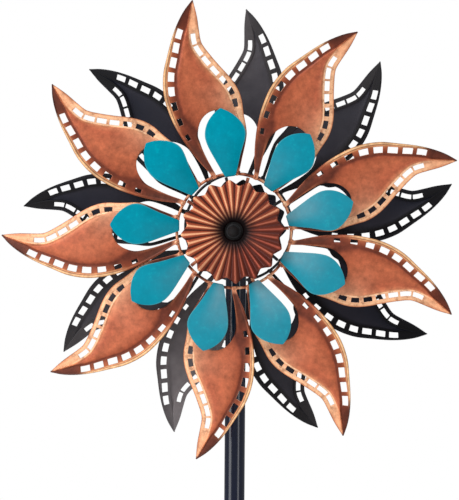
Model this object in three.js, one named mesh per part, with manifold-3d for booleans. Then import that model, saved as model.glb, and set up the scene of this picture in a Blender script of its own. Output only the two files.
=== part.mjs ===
// Dual kinetic wind spinner: two flower-shaped petal wheels turn opposite ways on one level axle,
// on top of a three-piece garden pole with a three-pronged stake.
// Millimetres, +Z up. The origin is at ground level on the pole's axis, and the front wheel faces -Y.
// Each wheel is built in its own frame: X and Y in the plane of its ring, +Z outwards, away from the pole.

import * as THREE from 'three';
import { mergeVertices } from 'three/addons/utils/BufferGeometryUtils.js';
import Module from 'manifold-3d';

const wasm = await Module();
wasm.setup();

// ---------------------------------------------------------------- driving dimensions

const GAP = 0.3; // clearance between pieces that touch

// Stand
const HUB_HEIGHT = 1625; // axle above the ground
const POLE_DIAMETER = 25.4;
const POLE_WALL = 1.5;
const SPIGOT_LENGTH = 45; // swaged end that plugs into the section below
const SWAGE_LENGTH = 6;
const LOWER_JOINT_HEIGHT = 545;
const UPPER_JOINT_HEIGHT = 1085;
const JOINT_SCREW_DROP = 22; // screw below the joint that it locks
const SCREW_DIAMETER = 5;
const THUMB_HEAD_DIAMETER = 13;
const THUMB_HEAD_LENGTH = 8;

// Ground stake
const STEP_BAR_LENGTH = 172;
const STEP_BAR_WIDTH = 34;
const STEP_BAR_THICKNESS = 5;
const SPIKE_DEPTH = 230;
const SPIKE_POINT = 45;
const SPIKE_POST_HEIGHT = 85; // what stands in the lower pole, above the ground
const PRONG_INSET = 17; // from the end of the step bar
const PRONG_DIAMETER = 10;
const PRONG_DEPTH = 190;
const PRONG_POINT = 28;

// Head and axle
const AXLE_DIAMETER = 8;
const HEAD_WALL = 2.7;
const HEAD_DROP = 45; // sleeve below the axle
const HEAD_RISE = 18; // closed top above the axle
const HEAD_BOSS_DIAMETER = 22;
const HEAD_BOSS_REACH = 4.3; // how far the boss stands out of the sleeve
const POLE_TOP_DROP = 16; // top of the pole below the axle
const SPACER_WALL = 2.2;
const SPACER_LENGTH = 5.4;
const WASHER_WIDTH = 4.2; // from its hole to its edge
const WASHER_THICKNESS = 1.6;
const NUT_WALL = 2.2; // from the thread to a flat
const NUT_HEX_HEIGHT = 6.5;
const NUT_DOME_STEP = 0.5; // from a flat in to the dome
const AXLE_REACH = 1; // end of the axle beyond the hexagon, inside the dome

// Hub
const BEARING_DIAMETER = 22;
const BEARING_WIDTH = 7;
const HUB_WALL = 3;
const HUB_FRONT = 4; // hub's outer end beyond the ring plane
const HUB_BACK = 24; // hub's inner end behind the ring plane
const HUB_SHOULDER = 2; // step that each bearing sits against
const COLLAR_WALL = 3;
const COLLAR_WIDTH = 9;
const COLLAR_SET_BACK = 0.6; // from the hub's outer end
const SPOKE_COUNT = 5;
const SPOKE_DIAMETER = 4;
const SPOKE_PHASE = 75.5; // degrees

// Ring
const RING_RADIUS = 68.5; // to the middle of the wire
const RING_WIRE = 4;

// Fluted cup
const CUP_RIM_RADIUS = 61;
const CUP_SCALLOP = 6.5; // how far the rim dips between two lobes
const CUP_DROOP = 0.5; // share of the dip by which the rim is also lower there
const CUP_RIM_HEIGHT = 25; // rim beyond the ring plane
const CUP_SHEET = 0.9;
const CUP_SEAT_WIDTH = 3.2;
const CUP_FLUTES = 32;
const CUP_LOBES = 16;
const CUP_FLUTE_DEPTH = 3.4;
const CUP_PHASE = 4.5; // degrees

// Petals
const PETAL_TIP_RADIUS = 280;
const PETAL_FILL = 1.3106; // breadth against the petals' spacing where neighbours come closest
const PETAL_CLOSEST = 0.15; // share of the petal's length at which they do
const PETAL_SHEET = 1;
const PETAL_COUNT = 9;
const PETAL_TWIST = 13; // degrees, convex edge towards the wind
const PETAL_TWIST_START = 0.125; // share of the petal's length where its legs begin to twist
const PETAL_TWIST_END = 0.456;
const LEG_TAPER = 0.85; // width of a leg's end against its width at the ring
const LEG_OVERLAP = 0.5; // how far a leg reaches past the ring's wire
const FRONT_PETAL_PHASE = 100.5; // degrees, tip of the first petal
const REAR_PETAL_PHASE = 92.5;
// Each petal was set by hand before it was welded, so it stands a few degrees off the even spacing.
const COPPER_SETTING = [0, -2, -2.5, -1, -2, 0.5, -2.5, 1, 1];
const BLACK_SETTING = [-4, -2.5, -0.5, -1.5, -0.5, 0.5, 3.5, 2.5, 1.5];

// Windows punched along both edges of a petal, counted from the tip. Lengths, widths and insets are
// shares of the petal's length and breadth, and first and last are shares of the way along the edge.
const LEADING_WINDOWS = {
  count: 8,
  first: 0.195,
  last: 0.78,
  stretch: 0.11, // how much the row opens out towards the root
  length: 0.0586,
  width: 0.081,
  inset: 0.073,
  swell: 0.03, // further in than the inset at the middle of the row
  full: 5, // windows of full size, before they shrink towards the root
};
const TRAILING_WINDOWS = {
  count: 7,
  first: 0.205,
  last: 0.62,
  stretch: 0.2,
  length: 0.051,
  width: 0.057,
  inset: 0.094,
  swell: 0,
  full: 7,
};
const WINDOW_SHRINK = 0.13; // each window near the root is this much smaller than the one before

// Blades
const BLADE_LENGTH = 82;
const BLADE_BREADTH = 49.5;
const BLADE_SHEET = 1;
const BLADE_RISE = 10; // how far a blade stands in front of its root
const BLADE_RISE_END = 0.6; // share of its length by which it has risen
const BLADE_OVERLAP = 1; // how far a blade reaches past the ring's wire
const BLADE_OFFSET = -7.2; // degrees from the petal's tip to the blade's root
const BLADE_LEAN = [7, 3, 8, 7, 7, 6, 9, 7, 3]; // degrees, each blade turned about its own root

// ---------------------------------------------------------------- shared sizes

const POLE_BORE = POLE_DIAMETER - 2 * POLE_WALL;
const SPIGOT_DIAMETER = POLE_BORE - 2 * GAP;
const AXLE_BORE = AXLE_DIAMETER + 2 * GAP;
const HEAD_BORE = POLE_DIAMETER + 2 * GAP;
const HEAD_DIAMETER = HEAD_BORE + 2 * HEAD_WALL;
const HEAD_BOSS_LENGTH = HEAD_DIAMETER + 2 * HEAD_BOSS_REACH;
const SPACER_DIAMETER = AXLE_BORE + 2 * SPACER_WALL;
const WASHER_DIAMETER = AXLE_BORE + 2 * WASHER_WIDTH;
const NUT_ACROSS_FLATS = AXLE_BORE + 2 * NUT_WALL;
const NUT_DOME_RADIUS = NUT_ACROSS_FLATS / 2 - NUT_DOME_STEP;
const HUB_BORE = BEARING_DIAMETER + 2 * GAP;
const HUB_DIAMETER = HUB_BORE + 2 * HUB_WALL;
const COLLAR_BORE = HUB_DIAMETER + 2 * GAP;
const COLLAR_DIAMETER = COLLAR_BORE + 2 * COLLAR_WALL;
const RING_INNER_RADIUS = RING_RADIUS - RING_WIRE / 2;
// From the pole's axis to a ring's plane: boss, spacer and the back of the hub
const HALF_SPACING = HEAD_BOSS_LENGTH / 2 + GAP + SPACER_LENGTH + GAP + HUB_BACK;
const PETAL_SEAT = RING_WIRE / 2 + GAP; // petals lie on the outer side of the ring
const BLADE_SEAT = PETAL_SEAT + PETAL_SHEET + GAP; // and blades over the petals' legs
const WASHER_SEAT = HUB_FRONT + GAP;
const NUT_SEAT = WASHER_SEAT + WASHER_THICKNESS + GAP;
const AXLE_END = NUT_SEAT + NUT_HEX_HEIGHT + AXLE_REACH; // beyond the ring plane
const PETAL_STEP = 360 / PETAL_COUNT;
const PETAL_LENGTH = PETAL_TIP_RADIUS - RING_RADIUS;
const CLOSEST_RADIUS = RING_RADIUS + PETAL_CLOSEST * PETAL_LENGTH;
const PETAL_BREADTH = (PETAL_FILL * 2 * Math.PI * CLOSEST_RADIUS) / PETAL_COUNT;
const PRONG_SPACING = STEP_BAR_LENGTH - 2 * PRONG_INSET;
const SCREW_HOLE = SCREW_DIAMETER + 2 * GAP;

// ---------------------------------------------------------------- materials

function paint(colour, roughness, metalness) {
  return new THREE.MeshStandardMaterial({ color: colour, roughness, metalness });
}

const copper = () => paint(0xb4623f, 0.42, 0.6);
const copperWire = () => paint(0x8a4a35, 0.45, 0.7);
const black = () => paint(0x26262c, 0.5, 0.3);
const teal = () => paint(0x058ea8, 0.5, 0.1);
const steel = () => paint(0x9a9ca0, 0.35, 0.9);

// ---------------------------------------------------------------- helpers

const degrees = THREE.MathUtils.degToRad;

const ROUND = 24; // sides of a round piece

function ring(outer, inner, low, high, segments) {
  // Turned ring about Z between two heights.
  return turned([[inner, low], [outer, low], [outer, high], [inner, high], [inner, low]], segments);
}

function turned(profile, segments) {
  // Lathe about Z from [radius, height] pairs, given with the solid on the left of the path.
  const points = profile.map(([radius, height]) => new THREE.Vector2(radius, height));
  return new THREE.LatheGeometry(points, segments).rotateX(Math.PI / 2);
}

function rod(diameter, length, segments) {
  // Round bar about Z, from 0 up to its length.
  const shape = new THREE.CylinderGeometry(diameter / 2, diameter / 2, length, segments);
  return shape.rotateX(Math.PI / 2).translate(0, 0, length / 2);
}

function solid(geometry) {
  const bare = geometry.clone();
  bare.deleteAttribute('normal');
  bare.deleteAttribute('uv');
  const merged = mergeVertices(bare, 1e-4);
  return new wasm.Manifold(new wasm.Mesh({
    numProp: 3,
    vertProperties: new Float32Array(merged.attributes.position.array),
    triVerts: new Uint32Array(merged.index.array),
  }));
}

function geometryOf(manifold) {
  const mesh = manifold.getMesh();
  const geometry = new THREE.BufferGeometry();
  geometry.setAttribute('position', new THREE.BufferAttribute(new Float32Array(mesh.vertProperties), 3));
  geometry.setIndex(new THREE.BufferAttribute(new Uint32Array(mesh.triVerts), 1));
  return geometry;
}

function join(...geometries) {
  return geometryOf(geometries.map(solid).reduce((whole, piece) => whole.add(piece)));
}

function cut(geometry, ...tools) {
  return geometryOf(tools.reduce((whole, tool) => whole.subtract(solid(tool)), solid(geometry)));
}

function place(group, name, geometry, material) {
  const mesh = new THREE.Mesh(geometry, material);
  mesh.name = name;
  group.add(mesh);
  return mesh;
}

function displace(geometry, change) {
  // Moves every vertex with change(point); copies of one point move alike, so a closed body stays closed.
  const position = geometry.attributes.position;
  const point = new THREE.Vector3();
  for (let i = 0; i < position.count; i += 1) {
    change(point.fromBufferAttribute(position, i));
    position.setXYZ(i, point.x, point.y, point.z);
  }
  return geometry;
}

// ---------------------------------------------------------------- stand

const group = new THREE.Group();

function crossHole(height) {
  // Drill for a screw that comes in from the front, at right angles to the pole.
  return rod(SCREW_HOLE, POLE_DIAMETER, 12).rotateX(-Math.PI / 2).translate(0, 0, height);
}

function poleSection(bottom, top, screwHeights, spigot) {
  const outer = POLE_DIAMETER / 2;
  const bore = POLE_BORE / 2;
  const plug = SPIGOT_DIAMETER / 2;
  const plugBore = plug - POLE_WALL;
  const foot = spigot
    ? [[plugBore, bottom - SPIGOT_LENGTH], [plug, bottom - SPIGOT_LENGTH], [plug, bottom], [outer, bottom]]
    : [[bore, bottom], [outer, bottom]];
  const throat = spigot ? [[bore, bottom + SWAGE_LENGTH], [plugBore, bottom]] : [];
  const profile = [...foot, [outer, top], [bore, top], ...throat, foot[0]];
  return cut(turned(profile, ROUND), ...screwHeights.map(crossHole));
}

function thumbScrew(reach) {
  // Points along -Y: the shank ends on the spigot and the knurled head stands outside the pole.
  const headStart = POLE_DIAMETER / 2 + GAP;
  const shank = rod(SCREW_DIAMETER, headStart - reach + 1, 12).translate(0, 0, reach);
  const head = rod(THUMB_HEAD_DIAMETER, THUMB_HEAD_LENGTH, 16).translate(0, 0, headStart);
  return join(shank, head).rotateX(-Math.PI / 2);
}

function addPole() {
  const poleTop = HUB_HEIGHT - POLE_TOP_DROP - GAP;
  const poleFoot = STEP_BAR_THICKNESS + GAP;
  const footScrew = SPIKE_POST_HEIGHT - JOINT_SCREW_DROP;
  const lowerScrew = LOWER_JOINT_HEIGHT - JOINT_SCREW_DROP;
  const upperScrew = UPPER_JOINT_HEIGHT - JOINT_SCREW_DROP;

  // The lower section has two screws: one into the stake at its foot, one into the spigot at its top.
  const lower = poleSection(poleFoot, LOWER_JOINT_HEIGHT - GAP, [footScrew, lowerScrew], false);
  const middle = poleSection(LOWER_JOINT_HEIGHT, UPPER_JOINT_HEIGHT - GAP, [upperScrew], true);
  const upper = poleSection(UPPER_JOINT_HEIGHT, poleTop, [], true);
  place(group, 'lower_pole', lower, black());
  place(group, 'middle_pole', middle, black());
  place(group, 'upper_pole', upper, black());

  const reach = SPIGOT_DIAMETER / 2 + GAP;
  place(group, 'stake_screw', thumbScrew(reach), black()).position.z = footScrew;
  place(group, 'lower_joint_screw', thumbScrew(reach), black()).position.z = lowerScrew;
  place(group, 'upper_joint_screw', thumbScrew(reach), black()).position.z = upperScrew;
}

function pointed(diameter, top, depth, point) {
  const radius = diameter / 2;
  return turned([[0, -depth], [radius, point - depth], [radius, top], [0, top]], 16);
}

function addStake() {
  // The spike goes through the middle of the step bar, and a prong through each end, flush with its top.
  const halfSpacing = PRONG_SPACING / 2;
  const bar = new THREE.BoxGeometry(STEP_BAR_LENGTH, STEP_BAR_WIDTH, STEP_BAR_THICKNESS);
  bar.translate(0, 0, STEP_BAR_THICKNESS / 2);
  const hole = (diameter, x) => rod(diameter + 2 * GAP, 3 * STEP_BAR_THICKNESS, ROUND)
    .translate(x, 0, -STEP_BAR_THICKNESS);
  const drills = [
    hole(SPIGOT_DIAMETER, 0),
    hole(PRONG_DIAMETER, -halfSpacing),
    hole(PRONG_DIAMETER, halfSpacing),
  ];
  place(group, 'step_bar', cut(bar, ...drills), black());
  const spike = pointed(SPIGOT_DIAMETER, SPIKE_POST_HEIGHT, SPIKE_DEPTH, SPIKE_POINT);
  place(group, 'stake_spike', spike, black());
  for (const [name, side] of [['left_prong', -1], ['right_prong', 1]]) {
    const prong = pointed(PRONG_DIAMETER, STEP_BAR_THICKNESS, PRONG_DEPTH, PRONG_POINT);
    place(group, name, prong, black()).position.x = side * halfSpacing;
  }
}

// ---------------------------------------------------------------- head, axle and what is on it

function levelRod(diameter, length) {
  // Round bar along Y, with its middle at the origin.
  return rod(diameter, length, ROUND).translate(0, 0, -length / 2).rotateX(Math.PI / 2);
}

function headBracket() {
  // Sleeve over the pole's top, closed above, with a level boss through it for the axle.
  const sleeve = rod(HEAD_DIAMETER, HEAD_DROP + HEAD_RISE, ROUND).translate(0, 0, -HEAD_DROP);
  const boss = levelRod(HEAD_BOSS_DIAMETER, HEAD_BOSS_LENGTH);
  const socket = rod(HEAD_BORE, 2 * HEAD_DROP - POLE_TOP_DROP, ROUND).translate(0, 0, -2 * HEAD_DROP);
  const axleHole = levelRod(AXLE_BORE, 2 * HEAD_BOSS_LENGTH);
  return cut(join(sleeve, boss), socket, axleHole);
}

function capNut() {
  // Hexagon with a dome, and a blind hole for the end of the axle.
  const hexagon = rod(NUT_ACROSS_FLATS / Math.cos(Math.PI / 6), NUT_HEX_HEIGHT, 6);
  const dome = new THREE.SphereGeometry(NUT_DOME_RADIUS, 20, 12).rotateX(Math.PI / 2);
  dome.translate(0, 0, NUT_HEX_HEIGHT);
  const boreDepth = NUT_HEX_HEIGHT + 2 * AXLE_REACH;
  const bore = rod(AXLE_BORE, 2 * boreDepth, 20).translate(0, 0, -boreDepth);
  return cut(join(hexagon, dome), bore);
}

function addAxle() {
  const head = new THREE.Group();
  head.position.z = HUB_HEIGHT;
  group.add(head);
  place(head, 'head_bracket', headBracket(), black());
  place(head, 'axle', levelRod(AXLE_DIAMETER, 2 * (HALF_SPACING + AXLE_END)), steel());

  const bore = AXLE_BORE / 2;
  for (const side of ['front', 'rear']) {
    const bench = wheelFrame(side);
    const spacerEnd = -HUB_BACK - GAP;
    const spacer = ring(SPACER_DIAMETER / 2, bore, spacerEnd - SPACER_LENGTH, spacerEnd, ROUND);
    const washer = ring(WASHER_DIAMETER / 2, bore, WASHER_SEAT, WASHER_SEAT + WASHER_THICKNESS, ROUND);
    place(bench, `${side}_spacer`, spacer, steel());
    place(bench, `${side}_washer`, washer, black());
    place(bench, `${side}_cap_nut`, capNut().translate(0, 0, NUT_SEAT), black());
  }
}

function wheelFrame(side) {
  // A wheel's own frame: +Z points to -Y for the front wheel and to +Y for the rear one.
  const turn = new THREE.Group();
  turn.position.set(0, side === 'front' ? -HALF_SPACING : HALF_SPACING, HUB_HEIGHT);
  turn.rotation.set(Math.PI / 2, 0, side === 'front' ? 0 : Math.PI, 'ZYX');
  group.add(turn);
  return turn;
}

// ---------------------------------------------------------------- wheel centre

function hubTube() {
  const outer = HUB_DIAMETER / 2;
  const bore = HUB_BORE / 2;
  const shoulder = BEARING_DIAMETER / 2 - HUB_SHOULDER;
  const frontPocket = HUB_FRONT - BEARING_WIDTH - GAP;
  const backPocket = -HUB_BACK + BEARING_WIDTH + GAP;
  return turned([
    [bore, -HUB_BACK], [outer, -HUB_BACK], [outer, HUB_FRONT], [bore, HUB_FRONT],
    [bore, frontPocket], [shoulder, frontPocket], [shoulder, backPocket], [bore, backPocket],
    [bore, -HUB_BACK],
  ], ROUND);
}

function spider() {
  // Collar round the hub with straight spokes out to the ring.
  const collarTop = HUB_FRONT - COLLAR_SET_BACK;
  const collar = ring(COLLAR_DIAMETER / 2, COLLAR_BORE / 2, collarTop - COLLAR_WIDTH, collarTop, ROUND);
  const start = (COLLAR_DIAMETER - COLLAR_WALL) / 2;
  const end = RING_INNER_RADIUS - GAP;
  const spokes = [];
  for (let i = 0; i < SPOKE_COUNT; i += 1) {
    const spoke = rod(SPOKE_DIAMETER, end - start, 8).translate(0, 0, start).rotateY(Math.PI / 2);
    spokes.push(spoke.rotateZ(degrees(SPOKE_PHASE + (i * 360) / SPOKE_COUNT)));
  }
  return join(collar, ...spokes);
}

function wireRing() {
  const section = [];
  for (let i = 0; i <= 6; i += 1) {
    const angle = (i / 6) * 2 * Math.PI;
    section.push([RING_RADIUS + (RING_WIRE / 2) * Math.cos(angle), (RING_WIRE / 2) * Math.sin(angle)]);
  }
  section[6] = section[0];
  return turned(section, 40);
}

function flutedCup() {
  // A thin funnel: a flat seat on the hub, then a wall that rises and opens into flutes and rim lobes.
  const seatInner = HUB_BORE / 2;
  const seatOuter = seatInner + CUP_SEAT_WIDTH;
  const low = HUB_FRONT + GAP;
  const high = CUP_RIM_HEIGHT - CUP_SHEET;
  const wall = [[seatInner, low], [seatOuter, low], [CUP_RIM_RADIUS, high]];
  const inside = wall.map(([radius, height]) => [radius, height + CUP_SHEET]).reverse();
  const shell = turned([...wall, ...inside, wall[0]], 2 * CUP_FLUTES);
  displace(shell, (point) => {
    const radius = Math.hypot(point.x, point.y);
    const angle = Math.atan2(point.y, point.x);
    const share = Math.max(0, (radius - seatOuter) / (CUP_RIM_RADIUS - seatOuter));
    const dip = (CUP_SCALLOP * share * share * (1 - Math.cos(CUP_LOBES * angle))) / 2;
    point.z += (CUP_FLUTE_DEPTH / 2) * share * Math.cos(CUP_FLUTES * angle) - CUP_DROOP * dip;
    point.x *= 1 - dip / radius;
    point.y *= 1 - dip / radius;
  });
  return shell.rotateZ(degrees(CUP_PHASE));
}

// ---------------------------------------------------------------- petals and blades

// Outlines are [share of the length from ring to tip, share of the breadth].
const LEADING_EDGE = [
  [0.018, 0.171], [0.132, 0.336], [0.246, 0.46], [0.361, 0.54], [0.486, 0.575], [0.606, 0.538],
  [0.714, 0.44], [0.817, 0.332], [0.897, 0.222], [0.959, 0.108], [1, 0],
];
const TRAILING_EDGE = [
  [1, 0], [0.908, -0.017], [0.817, -0.011], [0.754, -0.016], [0.691, -0.084], [0.617, -0.184],
  [0.543, -0.293], [0.475, -0.367], [0.406, -0.399], [0.315, -0.392], [0.224, -0.397],
  [0.155, -0.353], [0.075, -0.276], [0.007, -0.214],
];
const CUT_OUT = [
  [0.007, -0.168], [0.075, -0.228], [0.144, -0.291], [0.218, -0.35], [0.269, -0.329], [0.315, -0.27],
  [0.355, -0.171], [0.369, -0.066], [0.365, 0.039], [0.338, 0.142], [0.286, 0.22], [0.224, 0.241],
  [0.144, 0.205], [0.075, 0.158], [0.013, 0.105],
];
const BLADE_EDGE = [
  [0, 0.134], [0.235, 0.28], [0.46, 0.415], [0.632, 0.463], [0.8, 0.375], [0.912, 0.22], [0.978, 0.085],
  [1, -0.012], [0.963, -0.134], [0.89, -0.288], [0.78, -0.44], [0.65, -0.53], [0.54, -0.51], [0.42, -0.42],
  [0.309, -0.329], [0.118, -0.202], [0, -0.122],
];

function petalCurve(shares) {
  return new THREE.SplineCurve(shares.map(([along, across]) => new THREE.Vector2(
    RING_RADIUS + along * PETAL_LENGTH, across * PETAL_BREADTH,
  )));
}

function legEnd(point) {
  // Where that side of a leg ends, just inside the ring.
  const radius = RING_INNER_RADIUS - LEG_OVERLAP;
  const across = LEG_TAPER * point.y;
  return new THREE.Vector2(Math.sqrt(radius ** 2 - across ** 2), across);
}

function windowHoles(edge, row, inward) {
  // Rectangles along one edge of a petal, each turned to the edge's own direction.
  const holes = [];
  for (let i = 0; i < row.count; i += 1) {
    const step = i / (row.count - 1);
    const spread = step * (1 - row.stretch + row.stretch * step);
    const share = row.first + (row.last - row.first) * spread;
    const along = edge.getTangentAt(share);
    const across = new THREE.Vector2(-along.y, along.x).multiplyScalar(inward);
    const inset = PETAL_BREADTH * (row.inset + row.swell * Math.sin(Math.PI * step));
    const centre = edge.getPointAt(share).addScaledVector(across, inset);
    const size = 1 - WINDOW_SHRINK * Math.max(0, i - row.full + 1);
    const halfLength = (size * row.length * PETAL_LENGTH) / 2;
    const halfWidth = (size * row.width * PETAL_BREADTH) / 2;
    const corners = [[-1, -1], [1, -1], [1, 1], [-1, 1]];
    holes.push(new THREE.Path(corners.map(([u, v]) => centre.clone()
      .addScaledVector(along, u * halfLength)
      .addScaledVector(across, v * halfWidth))));
  }
  return holes;
}

function petal(twist) {
  const leading = petalCurve(LEADING_EDGE);
  const trailing = petalCurve(TRAILING_EDGE);
  const edgeOut = leading.getSpacedPoints(14);
  const edgeBack = trailing.getSpacedPoints(15).slice(1);
  const inner = petalCurve(CUT_OUT).getSpacedPoints(16);
  const outline = new THREE.Shape([
    legEnd(edgeOut[0]), ...edgeOut, ...edgeBack, legEnd(edgeBack.at(-1)),
    legEnd(inner[0]), ...inner, legEnd(inner.at(-1)),
  ].reverse()); // counter-clockwise
  const fromTip = petalCurve([...LEADING_EDGE].reverse());
  outline.holes = [
    ...windowHoles(fromTip, LEADING_WINDOWS, 1),
    ...windowHoles(trailing, TRAILING_WINDOWS, -1),
  ];
  const plate = new THREE.ExtrudeGeometry(outline, { depth: PETAL_SHEET, bevelEnabled: false });
  return displace(plate, (point) => {
    const share = (point.x - RING_RADIUS) / PETAL_LENGTH;
    const ramp = THREE.MathUtils.smoothstep(share, PETAL_TWIST_START, PETAL_TWIST_END);
    point.z += PETAL_SEAT + Math.tan(degrees(twist)) * point.y * ramp;
  });
}

function blade(lean) {
  const edge = new THREE.SplineCurve(BLADE_EDGE.map(([along, across]) => new THREE.Vector2(
    along * BLADE_LENGTH, across * BLADE_BREADTH,
  )));
  const plate = new THREE.ExtrudeGeometry(
    new THREE.Shape(edge.getSpacedPoints(22)),
    { depth: BLADE_SHEET, bevelEnabled: false },
  );
  displace(plate, (point) => {
    const ramp = THREE.MathUtils.smoothstep(point.x, 0, BLADE_RISE_END * BLADE_LENGTH);
    point.z += BLADE_SEAT + BLADE_RISE * ramp;
  });
  return plate.rotateZ(degrees(lean)).translate(RING_INNER_RADIUS - BLADE_OVERLAP, 0, 0);
}

// ---------------------------------------------------------------- wheels

function addWheel(side, colour) {
  const wheel = wheelFrame(side);
  place(wheel, `${side}_hub`, hubTube(), black());
  place(wheel, `${side}_spider`, spider(), colour.wire());
  place(wheel, `${side}_ring`, wireRing(), colour.wire());
  place(wheel, `${side}_cup`, flutedCup(), colour.sheet());
  const bearing = (end) => ring(BEARING_DIAMETER / 2, AXLE_BORE / 2, end, end + BEARING_WIDTH, ROUND);
  place(wheel, `${side}_outer_bearing`, bearing(HUB_FRONT - BEARING_WIDTH), steel());
  place(wheel, `${side}_inner_bearing`, bearing(-HUB_BACK), steel());
  return wheel;
}

function addFrontWheel() {
  const wheel = addWheel('front', { wire: copperWire, sheet: copper });
  COPPER_SETTING.forEach((setting, i) => {
    const tip = FRONT_PETAL_PHASE - i * PETAL_STEP + setting;
    place(wheel, `copper_petal_${i + 1}`, petal(PETAL_TWIST), copper()).rotation.z = degrees(tip);
    const tealBlade = place(wheel, `teal_blade_${i + 1}`, blade(BLADE_LEAN[i]), teal());
    tealBlade.rotation.z = degrees(tip + BLADE_OFFSET);
  });
}

function addRearWheel() {
  // The same petals turned round, so that they hook the other way, and twisted the other way.
  const wheel = addWheel('rear', { wire: black, sheet: black });
  BLACK_SETTING.forEach((setting, i) => {
    const tip = REAR_PETAL_PHASE - i * PETAL_STEP + setting;
    place(wheel, `black_petal_${i + 1}`, petal(-PETAL_TWIST), black()).rotation.z = degrees(180 - tip);
  });
}

addPole();
addStake();
addAxle();
addFrontWheel();
addRearWheel();

export default group;
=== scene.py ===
"""Garden wind spinner: the visible pieces of two counter-turning petal wheels on a staked pole.

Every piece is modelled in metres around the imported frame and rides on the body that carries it.
"""

import math
import random

import bmesh
import bpy
from bpy.props import FloatProperty, FloatVectorProperty, IntProperty, PointerProperty
from mathutils import Matrix, Vector, noise


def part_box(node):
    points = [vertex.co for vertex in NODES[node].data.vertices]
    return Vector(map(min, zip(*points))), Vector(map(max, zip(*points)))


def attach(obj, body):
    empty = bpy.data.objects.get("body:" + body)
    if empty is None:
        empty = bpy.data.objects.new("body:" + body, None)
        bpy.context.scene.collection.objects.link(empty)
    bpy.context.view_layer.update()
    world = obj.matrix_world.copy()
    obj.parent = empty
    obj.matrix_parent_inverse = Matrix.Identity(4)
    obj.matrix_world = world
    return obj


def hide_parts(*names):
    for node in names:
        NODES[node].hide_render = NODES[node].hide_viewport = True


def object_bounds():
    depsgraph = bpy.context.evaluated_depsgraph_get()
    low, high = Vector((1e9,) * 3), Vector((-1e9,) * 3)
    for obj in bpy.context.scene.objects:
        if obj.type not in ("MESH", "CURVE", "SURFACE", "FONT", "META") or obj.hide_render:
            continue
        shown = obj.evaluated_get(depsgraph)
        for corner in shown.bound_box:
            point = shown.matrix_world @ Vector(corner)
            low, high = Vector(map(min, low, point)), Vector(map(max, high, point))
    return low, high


bl_info = {
    "name": "Garden Wind Spinner",
    "version": (1, 0, 0),
    "blender": (4, 5, 0),
    "location": "3D View > Sidebar > Wind Spinner",
    "description": "Models two petal wheels on a garden pole around the packed frame",
    "category": "Object",
}

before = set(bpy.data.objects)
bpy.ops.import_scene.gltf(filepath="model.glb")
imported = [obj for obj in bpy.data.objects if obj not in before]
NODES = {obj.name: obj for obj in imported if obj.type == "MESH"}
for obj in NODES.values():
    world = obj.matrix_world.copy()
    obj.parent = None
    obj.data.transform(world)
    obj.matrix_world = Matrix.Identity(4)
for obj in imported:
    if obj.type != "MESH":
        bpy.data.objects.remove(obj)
CAD_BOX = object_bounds()
MM = 0.001
COPPER_PETALS = sorted(name for name in NODES if name.startswith("copper_petal_"))
BLACK_PETALS = sorted(name for name in NODES if name.startswith("black_petal_"))
TEAL_BLADES = sorted(name for name in NODES if name.startswith("teal_blade_"))


# ---------------------------------------------------------------- places from the frame


class Wheel:
    """One wheel's own frame: x and y in the plane of its ring, z outwards from the pole."""

    def __init__(self, side):
        self.side = side
        self.body = side + "_wheel"
        low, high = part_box(side + "_ring")
        self.centre = (low + high) / 2
        self.ring_radius = (high.x - low.x) / 2 - (high.y - low.y) / 2
        self.wire = high.y - low.y
        sign = 1 if side == "front" else -1
        self.place = Matrix.Translation(self.centre) @ Matrix(
            ((sign, 0, 0, 0), (0, 0, -sign, 0), (0, 1, 0, 0), (0, 0, 0, 1))
        )
        self.inverse = self.place.inverted()

    def points(self, node):
        """The vertices of a CAD node, in the wheel's frame."""
        return [self.inverse @ v.co for v in NODES[node].data.vertices]

    def heights(self, node):
        """How far out from the ring's plane a node starts and ends."""
        levels = [p.z for p in self.points(node)]
        return min(levels), max(levels)

    def radii(self, node):
        """The least and the greatest distance of a node's corners from the axle's line."""
        radii = [p.xy.length for p in self.points(node)]
        return min(radii), max(radii)

    def petal_turn(self, node):
        """Angle and radius of a petal's tip."""
        tip = max(self.points(node), key=lambda p: p.xy.length)
        return math.atan2(tip.y, tip.x), tip.xy.length

    def blade_place(self, node):
        """Root, direction and length of a blade."""
        points = self.points(node)
        inner = sorted(points, key=lambda p: p.xy.length)
        low = inner[0]
        other = next(p for p in inner if (p.xy - low.xy).length > 5 * MM)
        root = (low.xy + other.xy) / 2
        tip = max(points, key=lambda p: (p.xy - root).length)
        way = tip.xy - root
        return root, math.atan2(way.y, way.x), way.length


FRONT = Wheel("front")
REAR = Wheel("rear")


def half_width(node):
    """Radius of a round node about a level or upright axis through it."""
    low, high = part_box(node)
    return (high.x - low.x) / 2


# ---------------------------------------------------------------- settings


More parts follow.
